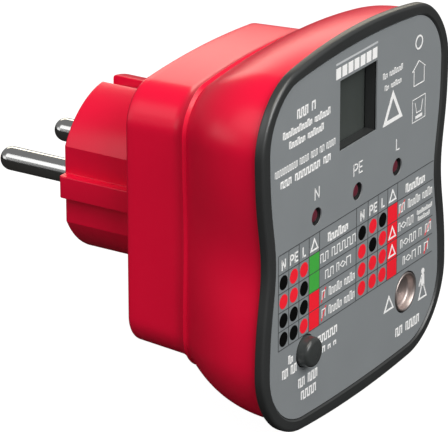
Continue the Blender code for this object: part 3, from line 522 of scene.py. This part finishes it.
def make_housing():
    """The red moulding: plug body, rear box and flared front, with its posts and screw bores."""
    mesh = solid("housing_moulding", skin(shell_rings()))
    mesh = carve(mesh, solid("plug", skin(plug_rings())), "UNION")
    inner_rear = SEAT_Y - WALL
    cavity = solid("cavity", rod(PLUG_CAVITY_RADIUS, inner_rear - OVERSHOOT, -END_WALL))
    mesh = carve(mesh, cavity, "DIFFERENCE")
    screws = HOUSING_SCREWS
    carrier = [(0.0, CARRIER_SCREW_Z), (0.0, -CARRIER_SCREW_Z)]
    posts = [rod(POST_RADIUS, POST_FRONT_Y, SEAT_Y - WALL / 2, x, z) for x, z in screws]
    posts += [rod(CARRIER_POST_RADIUS, COLLAR_FRONT_Y, -END_WALL / 2, x, z) for x, z in carrier]
    mesh = carve(mesh, solid("posts", *posts), "UNION")
    bores = [rod(COUNTERBORE_RADIUS, COUNTERBORE_FLOOR_Y, SEAT_Y + OVERSHOOT, x, z) for x, z in screws]
    for side in (-1, 1):
        pin_x = side * PIN_SPACING / 2
        bores.append(rod(PIN_HOLE_RADIUS, -END_WALL - OVERSHOOT, OVERSHOOT, pin_x, 0.0))
    thread_end = -0.0012
    bores += [rod(CARRIER_THREAD_RADIUS, COLLAR_FRONT_Y - OVERSHOOT, thread_end, x, z) for x, z in carrier]
    strip_inner, strip_outer = GROOVE_FLOOR_Z + 0.0002, GROOVE_FLOOR_Z + 0.0015
    for side in (1, -1):
        low, high = sorted((side * strip_inner, side * strip_outer))
        span = (inner_rear - OVERSHOOT, SEAT_Y + OVERSHOOT / 2)
        bores.append(block((-GROOVE_HALF, GROOVE_HALF), span, (low, high)))
    mesh = carve(mesh, solid("bores", *bores), "DIFFERENCE")
    clearance = [
        rod(CLEARANCE_RADIUS, POST_FRONT_Y - OVERSHOOT, COUNTERBORE_FLOOR_Y + OVERSHOOT, x, z)
        for x, z in screws
    ]
    mesh = carve(mesh, solid("clearance", *clearance), "DIFFERENCE")
    place("housing_moulding", mesh, FINISHES["red_plastic"], "red_plastic", ["housing_shell"], angle=24)


# ---------------------------------------------------------------- front cover and label
def panel_holes(y0, y1):
    """Cutters for the window, lamps, button and electrode."""
    holes = [centred_block(WINDOW_AT, WINDOW_SIZE, (y0, y1))]
    holes += [rod(LAMP_HOLE, y0, y1, x, z) for x, z in LAMPS]
    holes.append(rod(BUTTON_HOLE, y0, y1, *BUTTON_AT, 64))
    holes.append(rod(ELECTRODE_HOLE, y0, y1, *ELECTRODE_AT, 72))
    return holes


def make_cover():
    """The charcoal lid: rounded rim, recess for the label, lip, bosses and button guide."""
    recess, bevel = LABEL_INSET, 0.0003
    front_round, back_round = 0.0007, 0.0004
    lip_out, lip_in = 0.0042, 0.0052
    lip_back = RIM_BACK_Y + 0.0025
    rings = [
        ring(LABEL_EDGE, PLATE_FRONT_Y, recess),
        ring(LABEL_EDGE, RIM_FRONT_Y + bevel, recess),
        ring(LABEL_EDGE, RIM_FRONT_Y, recess - bevel),
    ]
    profile = []
    steps = 5
    turns = [math.radians(90 * k / steps) for k in range(steps + 1)]
    for turn in turns:
        inward, back = front_round * (1 - math.sin(turn)), front_round * (1 - math.cos(turn))
        profile.append((inward, RIM_FRONT_Y + back))
    for turn in turns:
        inward, forward = back_round * (1 - math.cos(turn)), back_round * (1 - math.sin(turn))
        profile.append((inward, RIM_BACK_Y - forward))
    profile += [(lip_out, RIM_BACK_Y), (lip_out, lip_back), (lip_in, lip_back), (lip_in, PLATE_BACK_Y)]
    rings += [ring(RIM, y, inset) for inset, y in profile]
    mesh = solid("rim_cover", skin(rings))
    root = PLATE_BACK_Y - OVERSHOOT
    bosses = [rod(BOSS_RADIUS, root, POST_FRONT_Y - GAP, x, z) for x, z in HOUSING_SCREWS]
    bosses += [rod(STANDOFF_RADIUS, root, BOARD_FRONT_Y - GAP, x, z) for x, z in BOARD_SCREWS]
    bosses.append(rod(GUIDE_RADIUS, root, GUIDE_BACK_Y, *BUTTON_AT))
    mesh = carve(mesh, solid("bosses", *bosses), "UNION")
    holes = panel_holes(RIM_FRONT_Y, PLATE_BACK_Y + OVERSHOOT)
    for x, z in HOUSING_SCREWS:
        holes.append(rod(BOSS_THREAD_RADIUS, BOSS_THREAD_Y, POST_FRONT_Y + OVERSHOOT, x, z))
    for x, z in BOARD_SCREWS:
        holes.append(rod(STANDOFF_THREAD_RADIUS, STANDOFF_THREAD_Y, BOARD_FRONT_Y + OVERSHOOT, x, z))
    mesh = carve(mesh, solid("holes", *holes), "DIFFERENCE")
    guide = solid("guide", rod(GUIDE_BORE_RADIUS, PLATE_BACK_Y, GUIDE_BACK_Y + OVERSHOOT / 2, *BUTTON_AT))
    mesh = carve(mesh, guide, "DIFFERENCE")
    place("rim_cover", mesh, FINISHES["dark_plastic"], "dark_plastic", ["front_cover"])


def make_label():
    """The grey overlay in the rim's recess."""
    back = PLATE_FRONT_Y - GAP
    edge = 0.00006
    inset = LABEL_INSET + 2 * edge
    rings = [
        ring(LABEL_EDGE, back, inset),
        ring(LABEL_EDGE, LABEL_FRONT_Y + edge, inset),
        ring(LABEL_EDGE, LABEL_FRONT_Y, inset + edge),
    ]
    mesh = solid("panel_overlay", skin(rings))
    holes = solid("holes", *panel_holes(LABEL_FRONT_Y - OVERSHOOT, back + OVERSHOOT))
    mesh = carve(mesh, holes, "DIFFERENCE")
    place("panel_overlay", mesh, FINISHES["label_grey"], "label_grey", ["front_label"])


# ---------------------------------------------------------------- small turned pieces
def round_edge(radius, y, size, steps):
    """Profile points round an outer edge, from the flat face at y out to the wall at the radius."""
    points = []
    for k in range(steps + 1):
        turn = math.radians(90 * k / steps)
        points.append((radius - size * (1 - math.sin(turn)), y + size * (1 - math.cos(turn))))
    return points


def make_lamps():
    """Three round lamps whose tops sit below the panel, with their leads."""
    radius, flange_radius, dome = 0.0015, 0.0019, 0.0009
    flange, foot = -0.0530, -0.0523
    lead_radius, lead_spacing = 0.0004, 0.00254
    for name, at in zip(LAMP_NODES, LAMPS):
        low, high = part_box(name)
        profile = [(0.0, low.y)] + round_edge(radius, low.y, dome, 8)
        profile += [(radius, flange), (flange_radius, flange), (flange_radius, foot), (0.0, foot)]
        mesh = solid(name + "_lamp", turned(profile, at))
        lead_x = [at[0] + side * lead_spacing / 2 for side in (-1, 1)]
        leads = [rod(lead_radius, foot - lead_radius, high.y, x, at[1], 20) for x in lead_x]
        mesh = carve(mesh, solid("leads", *leads), "UNION")
        place(name + "_lamp", mesh, FINISHES["lamp_red"], "lamp_red", [name])


def make_button():
    """The push button's cap, with a rounded face, flange and stem."""
    low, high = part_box("test_button")
    face = low.y
    face_radius, skirt_radius, flange_radius, stem_radius = 0.0030, 0.0031, 0.0044, 0.0015
    flange_front = PLATE_BACK_Y + GAP
    flange_back = flange_front + 0.001
    profile = [(0.0, face), (0.0006, face + 0.00001), (0.0012, face + 0.00006)]
    profile += round_edge(face_radius, face + 0.00012, 0.0009, 9)
    profile += [
        (skirt_radius, face + 0.0024),
        (skirt_radius, flange_front),
        (flange_radius, flange_front),
        (flange_radius, flange_back),
        (stem_radius, flange_back),
        (stem_radius, high.y),
        (0.0, high.y),
    ]
    mesh = solid("button_cap", turned(profile, BUTTON_AT))
    place("button_cap", mesh, FINISHES["button_grey"], "button_grey", ["test_button"], body="button")


def make_spring():
    """The button's return spring, a coil of round wire."""
    low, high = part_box("button_spring")
    wire, turns, steps, sides = 0.00025, 4, 30, 10
    radius = (high.x - low.x) / 2 - wire
    start, length = low.y + wire, high.y - low.y - 2 * wire
    rise = length / (2 * math.pi * turns)
    angles = [2 * math.pi * side / sides for side in range(sides)]
    rings = []
    for k in range(turns * steps + 1):
        turn = 2 * math.pi * k / steps
        outward = Vector((math.cos(turn), 0.0, math.sin(turn)))
        along = Vector((-radius * outward.z, rise, radius * outward.x)).normalized()
        across = along.cross(outward)
        middle = Vector((BUTTON_AT[0], start + rise * turn, BUTTON_AT[1]))
        centre = middle + outward * radius
        rings.append([centre + (outward * math.cos(a) + across * math.sin(a)) * wire for a in angles])
    mesh = solid("return_spring", skin(rings))
    coil = place("return_spring", mesh, FINISHES["spring_steel"], "spring_steel", ["button_spring"], angle=60)
    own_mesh(coil)


def make_electrode():
    """The touch cup: a bright rolled ring with a dished floor, and its contact flange."""
    low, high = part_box("touch_electrode")
    front = low.y
    floor, floor_radius, fillet = -0.0556, 0.0034, 0.0006
    wall_radius, flange_radius = 0.0040, 0.0050
    flange_front = PLATE_BACK_Y + GAP
    profile = [(0.0, floor)]
    for k in range(7):
        turn = math.radians(90 * k / 6)
        inward, forward = fillet * (1 - math.sin(turn)), fillet * (1 - math.cos(turn))
        profile.append((floor_radius - inward, floor - forward))
    profile += [(0.00345, front + 0.0003), (0.0036, front + 0.0001), (0.0037, front)]
    profile += round_edge(wall_radius, front, 0.0002, 4)
    profile += [(wall_radius, flange_front), (flange_radius, flange_front)]
    profile += [(flange_radius, high.y), (0.0, high.y)]
    mesh = solid("touch_cup", turned(profile, ELECTRODE_AT, 96))
    place("touch_cup", mesh, CUP_FINISH, "nickel", ["touch_electrode"], angle=50)


def make_pins():
    """The two round contact pins with blunt rounded tips."""
    low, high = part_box("pin_left")
    radius, tip, inner, bevel = PIN_RADIUS, high.y, low.y, 0.0004
    collar_back = -END_WALL - GAP
    for name, side in (("pin_left", -1), ("pin_right", 1)):
        profile = [(0.0, tip)]
        for k in range(1, 15):
            turn = math.radians(90 * k / 14)
            profile.append((radius * math.sin(turn) ** 0.9, tip - radius * (1 - math.cos(turn))))
        profile += [
            (radius, collar_back),
            (PIN_COLLAR_RADIUS, collar_back),
            (PIN_COLLAR_RADIUS, COLLAR_FRONT_Y),
            (radius, COLLAR_FRONT_Y),
            (radius, inner + bevel),
            (radius - bevel, inner),
            (0.0, inner),
        ]
        mesh = solid(name + "_contact", turned(profile, (side * PIN_SPACING / 2, 0.0), 80))
        place(name + "_contact", mesh, FINISHES["nickel"], "nickel", [name])


# ---------------------------------------------------------------- printed panel
INK_BACK_Y = LABEL_FRONT_Y - 0.000005
INK_FRONT_Y = LABEL_FRONT_Y - 0.00003
print_shapes = {colour: [] for colour in INKS}


def mm(points):
    """Points given in millimetres, in metres."""
    return [(x * MM, z * MM) for x, z in points]


def fill(colour, points):
    """Print a filled polygon, points in millimetres."""
    print_shapes[colour].append(mm(points))


def box(colour, x0, z0, x1, z1):
    """Print a filled rectangle."""
    fill(colour, [(x0, z0), (x1, z0), (x1, z1), (x0, z1)])


def disc(colour, x, z, radius, steps=40):
    """Print a filled disc."""
    fill(colour, arc((x, z), radius, 0, 360 - 360 / steps, steps - 1))


def stroke(colour, points, width, closed=False):
    """Print a line of constant width along the points, with mitred corners."""
    count = len(points)
    sides = []
    for k, point in enumerate(points):
        here = Vector(point)
        before = Vector(points[k - 1]) if closed or k else None
        after = Vector(points[(k + 1) % count]) if closed or k < count - 1 else None
        along_in = (here - before).normalized() if before is not None else None
        along_out = (after - here).normalized() if after is not None else None
        if along_in is None or along_out is None:
            along = along_out or along_in
            offset = Vector((-along.y, along.x)) * width / 2
        else:
            normal = Vector((-along_in.y, along_in.x)) + Vector((-along_out.y, along_out.x))
            normal.normalize()
            reach = max(normal.dot(Vector((-along_in.y, along_in.x))), 0.35)
            offset = normal * width / 2 / reach
        sides.append((here + offset, here - offset))
    for k in range(count if closed else count - 1):
        (left, right), (next_left, next_right) = sides[k], sides[(k + 1) % count]
        fill(colour, [tuple(right), tuple(next_right), tuple(next_left), tuple(left)])


LETTER_WIDTHS = {"N": 0.72, "P": 0.66, "E": 0.6, "L": 0.56}


def letter(colour, kind, x, z, height, weight):
    """Print a generic contact letter from plain strokes, and return its width."""
    w = LETTER_WIDTHS[kind] * height
    h = height
    half = weight / 2
    if kind == "N":
        lines = [[(half, 0), (half, h)], [(w - half, 0), (w - half, h)]]
        lines.insert(1, [(half, h * 0.97), (w - half, h * 0.03)])
    elif kind == "P":
        bowl = arc((w - h * 0.27, h * 0.73 - half * 0.5), h * 0.27 - half * 0.5, 90, -90, 8)
        lines = [[(half, 0), (half, h)], [(half, h - half)] + bowl + [(half, bowl[-1][1])]]
    elif kind == "E":
        lines = [[(half, 0), (half, h)], [(half, h - half), (w, h - half)], [(half, half), (w, half)]]
        lines.append([(half, h / 2), (w * 0.9, h / 2)])
    else:
        lines = [[(half, 0), (half, h)], [(half, half), (w, half)]]
    for line in lines:
        stroke(colour, [(x + px, z + pz) for px, pz in line], weight)
    return w


def letters(colour, word, x, z, height, weight):
    """Print letters centred on x, standing on z."""
    space = height * 0.16
    total = sum(LETTER_WIDTHS[kind] * height for kind in word) + space * (len(word) - 1)
    at = x - total / 2
    for kind in word:
        at += letter(colour, kind, at, z, height, weight) + space


def greek(colour, x0, x1, z, height, weight, words, level_tops=False):
    """Print a line of plain marks in place of text: a meander for each word, of this many marks."""
    slots = sum(words) + len(words) - 1
    pitch = (x1 - x0) / slots
    start = x0
    for number, word in enumerate(words):
        step = (pitch * word - weight) / (2 * word - 1)
        x, points = start + weight / 2, []
        for mark in range(2 * word):
            tall = height if level_tops or (mark // 2 + number) % 3 == 0 else height * 0.74
            ends = [(x, z + weight / 2), (x, z + tall - weight / 2)]
            points += ends if mark % 2 == 0 else ends[::-1]
            x += step
        level = [points[0]]
        for before, after in zip(points, points[1:]):
            if before[0] != after[0] and before[1] != after[1]:
                low = min(before[1], after[1])
                level[-1] = (before[0], low)
                after = (after[0], low)
            level.append(after)
        stroke(colour, level, weight)
        start += pitch * (word + 1)


def triangle(colour, x, z, width, height, weight):
    """Print a plain triangle outline standing on z, centred on x."""
    stroke(colour, [(x - width / 2, z), (x + width / 2, z), (x, z + height)], weight, closed=True)


TABLE_TOP, HEADER_FLOOR, TABLE_FLOOR = 1.75, -2.17, -17.54
TABLE_ROWS = 4
ROW = (HEADER_FLOOR - TABLE_FLOOR) / TABLE_ROWS
TABLES = {
    "left": {
        "columns": (-29.0, -25.3, -21.6, -17.95, -14.15, -0.36),
        "dots": ("KRR", "RRK", "KKK", "KKR"),
        "cells": ("green", "green", "red", "red"),
        "warned": (),
        "status": (-11.1, -3.6),
        "texts": (
            ((-13.8, -10.9, (2,)), (-9.6, -0.7, (5,))),
            ((-12.0, -8.9, (2,)), (-7.8, -6.8, (1,)), (-4.1, -2.4, (1,))),
            ((-13.2, -12.0, (1,)), (-10.6, -0.9, (5, 4))),
            ((-13.2, -11.8, (1,)), (-10.6, -0.9, (5, 4))),
        ),
        "rings": ((1, -5.4),),
        "slashes": ((2, -13.4, -11.7), (3, -13.3, -11.6)),
    },
    "right": {
        "columns": (-0.36, 4.05, 7.9, 11.6, 15.45, 29.6),
        "dots": ("KRK", "RKR", "RRR", "RRR"),
        "cells": ("red", "red", "red", "red"),
        "warned": (1, 2),
        "status": (18.6, 26.2),
        "texts": (
            ((16.1, 18.3, (2,)), (19.6, 29.2, (5, 4))),
            ((15.9, 16.7, (1,)), (19.3, 21.8, (2,))),
            ((16.8, 17.6, (1,)), (20.4, 23.0, (2,)), (24.1, 25.2, (1,)), (26.7, 29.0, (2,))),
            ((17.9, 18.7, (1,)), (21.5, 23.0, (1,)), (24.0, 25.1, (1,)), (26.4, 27.9, (1,))),
        ),
        "rings": ((1, 18.0), (2, 19.0), (3, 20.1)),
        "slashes": ((0, 15.9, 18.4), (2, 26.6, 29.0), (3, 26.4, 28.2)),
    },
}
LINE = 0.16


def print_table(spec):
    """A table of dots: three contact columns, a coloured column and a text column."""
    columns = spec["columns"]
    rows = [HEADER_FLOOR - ROW * k for k in range(TABLE_ROWS + 1)]
    for row, colour in enumerate(spec["cells"]):
        box(colour, columns[3], rows[row + 1], columns[4], rows[row])
    for z in [TABLE_TOP] + rows:
        stroke("line", [(columns[0], z), (columns[-1], z)], LINE)
    for x in columns[:-1]:
        stroke("line", [(x, TABLE_TOP), (x, rows[-1])], LINE)
    middles = [(a + b) / 2 for a, b in zip(columns, columns[1:])]
    for x, word in zip(middles, ("N", "PE", "L")):
        letters("white", word, x, HEADER_FLOOR + 0.65, 2.05, 0.33)
    triangle("white", middles[3], HEADER_FLOOR + 0.85, 2.5, 2.1, 0.32)
    greek("white", *spec["status"], HEADER_FLOOR + 0.60, 1.9, 0.34, (6,))
    for row, dots in enumerate(spec["dots"]):
        z = (rows[row] + rows[row + 1]) / 2
        for x, dot in zip(middles, dots):
            disc("black" if dot == "K" else "red", x, z, 1.45)
        for x0, x1, words in spec["texts"][row]:
            greek("white", x0, x1, z - 0.95, 1.85, 0.19, words, len(words) == 1)
    for row, x in spec["rings"]:
        z = (rows[row] + rows[row + 1]) / 2
        stroke("white", [(x - 1.0, z), (x, z + 0.6), (x + 1.0, z), (x, z - 0.6)], 0.16, closed=True)
    for row in spec["warned"]:
        z = (rows[row] + rows[row + 1]) / 2
        triangle("white", middles[3], z - 1.15, 2.5, 2.2, 0.34)
    for row, x0, x1 in spec["slashes"]:
        z = (rows[row] + rows[row + 1]) / 2
        stroke("red", [(x0, z - 1.4), (x1, z + 1.3)], 0.32)


def print_side_note(spec, row):
    """Two small text lines at the right end of a table row."""
    z = HEADER_FLOOR - ROW * (row + 0.5)
    right = spec["columns"][-1] - 0.3
    greek("white", right - 6.0, right, z + 0.15, 0.95, 0.13, (10,))
    greek("white", right - 5.6, right - 0.9, z - 1.25, 0.95, 0.13, (7,))


def print_heading():
    """Marks round the window: a bar and a row of blocks above it, and text lines at its sides."""
    box("pale", -8.5, 33.0, 7.0, 33.4)
    for k in range(7):
        box("white", -8.5 + 2.25 * k, 30.2, -6.75 + 2.25 * k, 32.35)
    greek("white", -22.6, -16.0, 26.8, 1.95, 0.34, (3, 1), True)
    greek("white", -27.6, -10.6, 24.25, 1.5, 0.26, (11, 6))
    greek("white", -25.4, -13.0, 21.8, 1.5, 0.26, (6, 6))
    greek("white", -30.4, -8.7, 17.5, 1.35, 0.15, (10, 4, 3, 2, 4), True)
    greek("white", -28.4, -10.4, 14.8, 1.5, 0.32, (3, 7, 2), True)
    greek("white", 9.1, 16.7, 24.8, 1.25, 0.16, (2, 6))
    greek("white", 9.8, 16.2, 22.3, 1.1, 0.16, (2, 5))
    triangle("white", 13.1, 15.5, 6.2, 5.3, 0.8)


def print_symbols():
    """Plain outline symbols at the panel's right: ring, house, box and a standing figure."""
    stroke("white", arc((23.0, 28.4), 1.3, 0, 350, 35), 0.34, closed=True)
    stroke("white", [(21.2, 22.9), (21.2, 19.8), (25.2, 19.8), (25.2, 22.9)], 0.17)
    stroke("white", [(20.6, 22.8), (23.1, 24.6), (25.6, 22.9)], 0.17)
    stroke("white", [(20.8, 12.3), (25.8, 12.3), (25.8, 17.0), (20.8, 17.0)], 0.12, closed=True)
    stroke("white", [(21.8, 16.2), (22.4, 14.0), (24.2, 14.0), (24.8, 16.2)], 0.15)
    box("white", 22.0, 12.8, 24.6, 13.4)
    disc("white", 26.1, -20.6, 0.6)
    fill("white", [(25.5, -21.3), (26.6, -21.3), (26.8, -23.8), (25.3, -23.8)])
    stroke("white", [(25.6, -21.7), (24.6, -23.5)], 0.30)
    stroke("white", [(25.7, -23.6), (24.6, -26.3), (27.6, -26.3), (26.4, -23.6)], 0.34)
    triangle("white", 12.6, -24.1, 3.3, 2.7, 0.38)


def print_captions():
    """Contact letters over the lamps and text lines round the button and the electrode."""
    for (x, _), word in zip(LAMPS, ("N", "PE", "L")):
        letters("white", word, x / MM, 8.6, 2.4, 0.24)
    greek("white", -14.6, -7.4, -21.5, 1.7, 0.34, (5,), True)
    greek("white", -12.9, -7.7, -23.9, 1.4, 0.30, (1, 1, 1))
    greek("white", -25.4, -23.7, -21.6, 1.8, 0.28, (2,))
    greek("white", -27.6, -22.4, -24.0, 1.9, 0.30, (2, 2), True)
    greek("white", -21.7, -14.7, -28.0, 2.0, 0.34, (2, 3), True)
    greek("white", -20.7, -15.2, -30.8, 1.9, 0.34, (4,), True)
    greek("white", 15.4, 24.8, -31.2, 1.95, 0.34, (2, 4), True)


def make_prints():
    """One thin piece per ink, lying on the label."""
    for spec in TABLES.values():
        print_table(spec)
    print_side_note(TABLES["right"], 1)
    print_heading()
    print_symbols()
    print_captions()
    layers = {"line": 1, "green": 0, "pale": 0, "black": 2, "red": 0, "white": 3}
    layer_depth = 0.00001
    for colour, shapes in print_shapes.items():
        bm = bmesh.new()
        lift = layer_depth * layers[colour]
        for points in shapes:
            back = [bm.verts.new((x, INK_BACK_Y, z)) for x, z in points]
            front = [bm.verts.new((x, INK_FRONT_Y - lift, z)) for x, z in points]
            bm.faces.new(back)
            bm.faces.new(front)
            for k in range(len(points)):
                after = (k + 1) % len(points)
                bm.faces.new((back[k], back[after], front[after], front[k]))
        bmesh.ops.recalc_face_normals(bm, faces=bm.faces)
        mesh = bpy.data.meshes.new("print_" + colour)
        bm.to_mesh(mesh)
        bm.free()
        place("print_" + colour, mesh, INKS[colour], "label_grey")


# ---------------------------------------------------------------- carried-over CAD nodes
def finish_cad_nodes():
    """Give every CAD node that stays its procedural finish."""
    slots = {row["node"]: row["material_slot"] for row in frame["record"]["subparts"]}
    for name, obj in frame["nodes"].items():
        for slot in obj.material_slots:
            slot.material = FINISHES[slots[name]]


# ---------------------------------------------------------------- floor, light and camera
def make_floor():
    """A plain pale floor: white to the eye, grey as a bounce and dark in reflections."""
    size, height = 6.0, cad_low.z - 0.0004
    mesh = bpy.data.meshes.new("floor")
    corners = [(-size, -size, height), (size, -size, height), (size, size, height), (-size, size, height)]
    mesh.from_pydata(corners, [], [(0, 1, 2, 3)])
    floor = bpy.data.objects.new("floor", mesh)
    bpy.context.scene.collection.objects.link(floor)
    material = bpy.data.materials.new("floor_paper")
    material.use_nodes = True
    nodes, links = material.node_tree.nodes, material.node_tree.links
    nodes.clear()
    out = nodes.new("ShaderNodeOutputMaterial")
    path = nodes.new("ShaderNodeLightPath")
    seen = nodes.new("ShaderNodeMixShader")
    pale = nodes.new("ShaderNodeMixShader")
    paper = nodes.new("ShaderNodeBsdfDiffuse")
    glow = nodes.new("ShaderNodeEmission")
    dark = nodes.new("ShaderNodeBsdfDiffuse")
    bounce = nodes.new("ShaderNodeBsdfDiffuse")
    unseen = nodes.new("ShaderNodeMixShader")
    set_input(paper, "Color", (0.9, 0.9, 0.9, 1.0))
    set_input(glow, "Color", (1.0, 1.0, 1.0, 1.0))
    set_input(glow, "Strength", 1.15)
    set_input(dark, "Color", (0.025, 0.025, 0.025, 1.0))
    set_input(bounce, "Color", (0.14, 0.14, 0.14, 1.0))
    set_input(pale, "Fac", 0.85)
    links.new(paper.outputs[0], pale.inputs[1])
    links.new(glow.outputs[0], pale.inputs[2])
    links.new(path.outputs["Is Camera Ray"], seen.inputs["Fac"])
    links.new(path.outputs["Is Glossy Ray"], unseen.inputs["Fac"])
    links.new(bounce.outputs[0], unseen.inputs[1])
    links.new(dark.outputs[0], unseen.inputs[2])
    links.new(unseen.outputs[0], seen.inputs[1])
    links.new(pale.outputs[0], seen.inputs[2])
    links.new(seen.outputs[0], out.inputs["Surface"])
    mesh.materials.append(material)


LIGHT_TARGET = (0.0, -0.03, 0.0)
LIGHT_DISTANCE = 1.1


def area_light(name, azimuth, elevation, size, power, colour=(1.0, 1.0, 1.0)):
    """A soft box aimed at the object; azimuth 0 stands in front of the panel, 90 at its right."""
    a, e = math.radians(azimuth), math.radians(elevation)
    away = Vector((math.sin(a) * math.cos(e), -math.cos(a) * math.cos(e), math.sin(e)))
    light = bpy.data.lights.new(name, "AREA")
    light.shape = "RECTANGLE"
    light.size, light.size_y = size
    light.energy = power
    light.color = colour
    obj = bpy.data.objects.new(name, light)
    obj.location = Vector(LIGHT_TARGET) + away * LIGHT_DISTANCE
    obj.rotation_euler = (-away).to_track_quat("-Z", "Y").to_euler()
    bpy.context.scene.collection.objects.link(obj)


def make_world():
    """An even surround: white to the eye, dim as a light."""
    world = bpy.data.worlds.new("studio")
    bpy.context.scene.world = world
    world.use_nodes = True
    nodes, links = world.node_tree.nodes, world.node_tree.links
    dim = nodes["Background"]
    set_input(dim, "Color", (0.21, 0.21, 0.21, 1.0))
    white = nodes.new("ShaderNodeBackground")
    set_input(white, "Color", (1.0, 1.0, 1.0, 1.0))
    path = nodes.new("ShaderNodeLightPath")
    seen = nodes.new("ShaderNodeMixShader")
    links.new(path.outputs["Is Camera Ray"], seen.inputs["Fac"])
    links.new(dim.outputs[0], seen.inputs[1])
    links.new(white.outputs[0], seen.inputs[2])
    links.new(seen.outputs[0], nodes["World Output"].inputs["Surface"])


def make_lights():
    """Soft boxes: two in front, one overhead, three round the left and one behind for the top's sheen."""
    area_light("front_left_box", -30, 34, (0.56, 0.54), 6.2)
    area_light("front_box", 0, 36, (0.56, 0.54), 3.4)
    area_light("top_box", 0, 66, (0.60, 0.56), 3.8, (1.0, 0.96, 0.88))
    area_light("left_top_box", -62, 62, (0.40, 0.40), 2.8, (1.0, 0.94, 0.84))
    area_light("left_box", -90, 34, (0.56, 0.54), 0.4)
    area_light("rear_left_box", -126, 34, (0.56, 0.54), 1.1)
    area_light("rear_low_box", -145, 8, (0.60, 0.30), 0.5)
    area_light("rear_box", 122, 21, (0.90, 0.30), 2.2, (1.0, 0.93, 0.76))


CAMERA_AZIMUTH = -57.833
CAMERA_ELEVATION = 21.922
CAMERA_ROLL = -0.122
CAMERA_DISTANCE = 0.7586
CAMERA_TARGET = (-0.00087, -0.02811, -0.00639)
CAMERA_LENS = 311.8
CAMERA_SHIFT = (-0.0052, 0.0058)


def make_camera():
    """The camera, to the left of the panel and above it."""
    a, e = math.radians(CAMERA_AZIMUTH), math.radians(CAMERA_ELEVATION)
    back = Vector((math.sin(a) * math.cos(e), -math.cos(a) * math.cos(e), math.sin(e)))
    data = bpy.data.cameras.new("camera")
    data.lens = CAMERA_LENS
    data.sensor_width = 36.0
    data.shift_x, data.shift_y = CAMERA_SHIFT
    data.clip_start, data.clip_end = 0.01, 20.0
    camera = bpy.data.objects.new("camera", data)
    camera.location = Vector(CAMERA_TARGET) + back * CAMERA_DISTANCE
    roll = Quaternion((0, 0, 1), math.radians(CAMERA_ROLL))
    camera.rotation_euler = ((-back).to_track_quat("-Z", "Y") @ roll).to_euler()
    bpy.context.scene.collection.objects.link(camera)
    bpy.context.scene.camera = camera


make_camera()
make_housing()
make_cover()
make_label()
make_lamps()
make_button()
make_spring()
make_electrode()
make_pins()
make_prints()
finish_cad_nodes()
make_floor()
make_world()
make_lights()
bpy.context.scene.view_settings.view_transform = "Standard"
